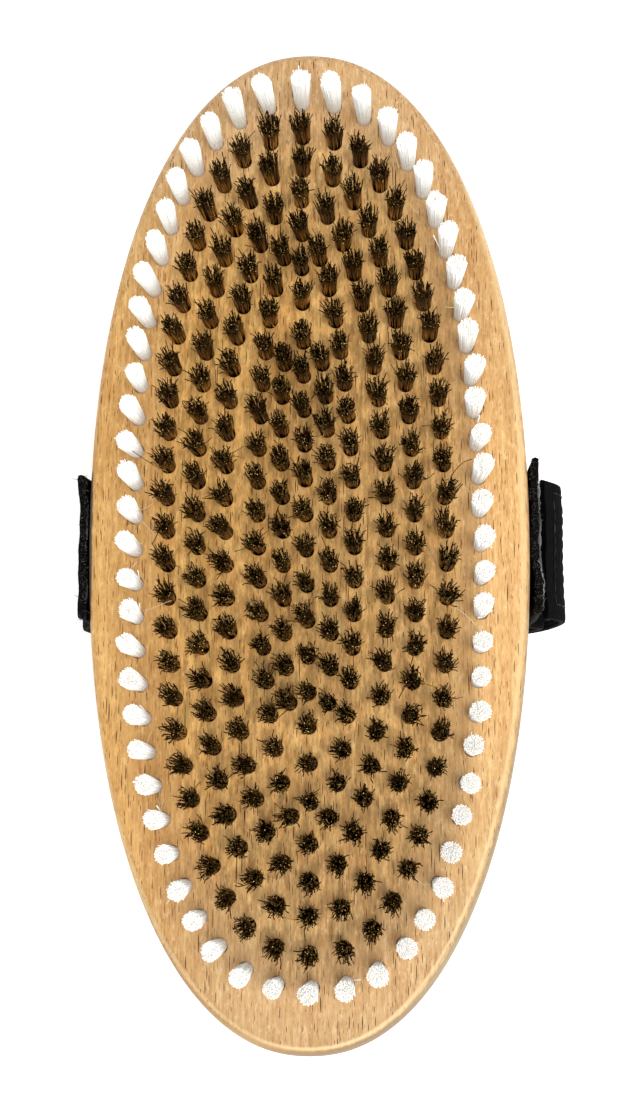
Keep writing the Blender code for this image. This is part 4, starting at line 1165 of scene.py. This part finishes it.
def loose_yarns(side, x_mid, spans, how, rng):
    """Pale yarns lying along the outer edge of a cut end."""
    lines = []
    for low, high, count in spans:
        for _ in range(count):
            y = rng.uniform(low, high)
            run = rng.uniform(0.8, 3.0) * rng.choice([-1, 1])
            x = side * (x_mid + 0.78 + rng.uniform(-0.12, 0.14))
            z = TAB_HIGH + rng.uniform(-0.25, 0.22)
            sway = rng.normal(0, 0.12, (5, 3))
            sway[0] = 0
            u = np.linspace(0, 1, 5)
            lines.append(np.stack([x + side * 0.10 * np.sin(np.pi * u) + sway[:, 0], y + run * u + sway[:, 1], z + sway[:, 2]], 1))
    lines = np.array(lines)
    return how(lines.reshape(-1, 3)).reshape(lines.shape)


rng = np.random.default_rng(61)
fray_left = strands("left_cut_end_yarns", fray(-1, 900, -17.2, 13.0, 46.75, bow_left, rng), rng.uniform(0.04, 0.075, 900), 3, FRAY, rng)
fray_right = strands("right_cut_end_yarns", fray(1, 950, -16.6, 15.4, 46.75, bow_right, rng), rng.uniform(0.04, 0.075, 950), 3, FRAY, rng)
pale_right = strands("right_cut_end_pale_yarns", loose_yarns(1, 46.75, ((-9.0, 9.5, 58), (-15.0, -9.0, 7)), bow_right, rng), 0.045, 3, PALE_YARN, rng)
pale_left = strands("left_cut_end_lint", loose_yarns(-1, 45.3, ((3.6, 4.6, 3), (-0.8, 0.2, 3), (-2.6, -1.6, 2), (-13.5, -10.5, 2)), bow_left, rng) , 0.05, 3, PALE_YARN, rng)
for ob in (fray_left, fray_right, pale_right, pale_left):
    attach(ob, "brush")


# ---- tacks -------------------------------------------------------------------------------------------
def steel():
    n = Nodes("blued_steel_tack", roughness=0.36, metallic=1.0)
    p = n.object_mm()
    blotch = n.noise(n.scaled(p, (0.9, 0.9, 0.9)), 1.0, 3.0, 0.6)
    scratch = n.noise(n.scaled(p, (3.0, 3.0, 0.5)), 1.0, 2.0)
    colour = n.ramp(blotch, ((0.3, (0.030, 0.032, 0.042)), (0.6, (0.060, 0.062, 0.075)), (0.8, (0.095, 0.085, 0.075))))
    n.finish(colour, n.level(scratch, 0.3, 0.7, 0.28, 0.48), n.bump(blotch, 0.15, 0.00005))
    return n.mat


STEEL = steel()


def tack(name, side, y, z=41.5):
    """Domed head with a rolled rim on the webbing, and a pointed shank in the wood."""
    seat = WALL_X + WEB_T / 2 - 0.04
    profile = [(1.00, 0.0), (0.985, 0.45), (0.93, 0.95), (0.80, 1.45), (0.58, 1.82), (0.34, 2.04), (0.16, 2.10), (0.02, 2.06), (0.0, 1.9),
               (0.0, 0.75), (-0.3, 0.68), (-5.6, 0.62), (-7.6, 0.0)]
    sides = 28
    a = 2 * np.pi * np.arange(sides) / sides
    verts, rings = [], []
    for x, r in profile:
        rings.append((len(verts), r))
        if r == 0.0:
            verts.append((side * (seat + x), y, z))
        else:
            verts += [(side * (seat + x), y + r * math.cos(k), z + r * math.sin(k)) for k in a]
    quads, tris = [], []
    for (b0, r0), (b1, r1) in zip(rings, rings[1:]):
        for k in range(sides):
            j = (k + 1) % sides
            if r0 == 0.0:
                f = (b0, b1 + k, b1 + j)
            elif r1 == 0.0:
                f = (b0 + j, b0 + k, b1)
            else:
                f = (b0 + j, b0 + k, b1 + k, b1 + j)
            f = f if side > 0 else f[::-1]
            (tris if len(f) == 3 else quads).append(f)
    ob = new_mesh(name + "_steel", np.array(verts), [np.array(tris), np.array(quads)], STEEL)
    ob.data.set_sharp_from_angle(angle=math.radians(50))
    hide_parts(name)
    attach(ob, "brush")


for side_name, side in (("left", -1), ("right", 1)):
    for k, y in enumerate((-10.5, 0.0, 10.5)):
        tack(f"{side_name}_tack_{k + 1}", side, y)

# ---- floor, lights -----------------------------------------------------------------------------
floor_nodes = Nodes("pale_floor", roughness=0.9)
floor_nodes.finish((0.95, 0.95, 0.95, 1.0), None, None, Specular_IOR_Level=0.0, Emission_Color=(1.0, 1.0, 1.0, 1.0),
                   Emission_Strength=0.42)
floor = new_mesh("floor", np.array([(-2500, -2500, 0), (2500, -2500, 0), (2500, 2500, 0), (-2500, 2500, 0)], float),
                 [np.array([[0, 1, 2, 3]])], floor_nodes.mat, False)


def sun(name, towards, strength, spread, colour=(1, 1, 1)):
    """Soft light from far away; towards points at the light, spread is its width in degrees."""
    data = bpy.data.lights.new(name, "SUN")
    data.energy = strength
    data.angle = math.radians(spread)
    data.color = colour
    ob = bpy.data.objects.new(name, data)
    bpy.context.scene.collection.objects.link(ob)
    ob.rotation_mode = "QUATERNION"
    ob.rotation_quaternion = Vector(towards).to_track_quat("Z", "Y")
    return ob


sun("key", (0.31, -0.33, 1.0), 2.95, 52.0, (1.0, 0.99, 0.97))
world = bpy.data.worlds.new("studio")
bpy.context.scene.world = world
world.use_nodes = True
world.node_tree.nodes["Background"].inputs["Color"].default_value = (1.0, 1.0, 1.0, 1.0)
world.node_tree.nodes["Background"].inputs["Strength"].default_value = 0.37
bpy.context.scene.view_settings.view_transform = "Standard"
bpy.context.scene.view_settings.look = "None"
bpy.context.scene.view_settings.exposure = 0.0
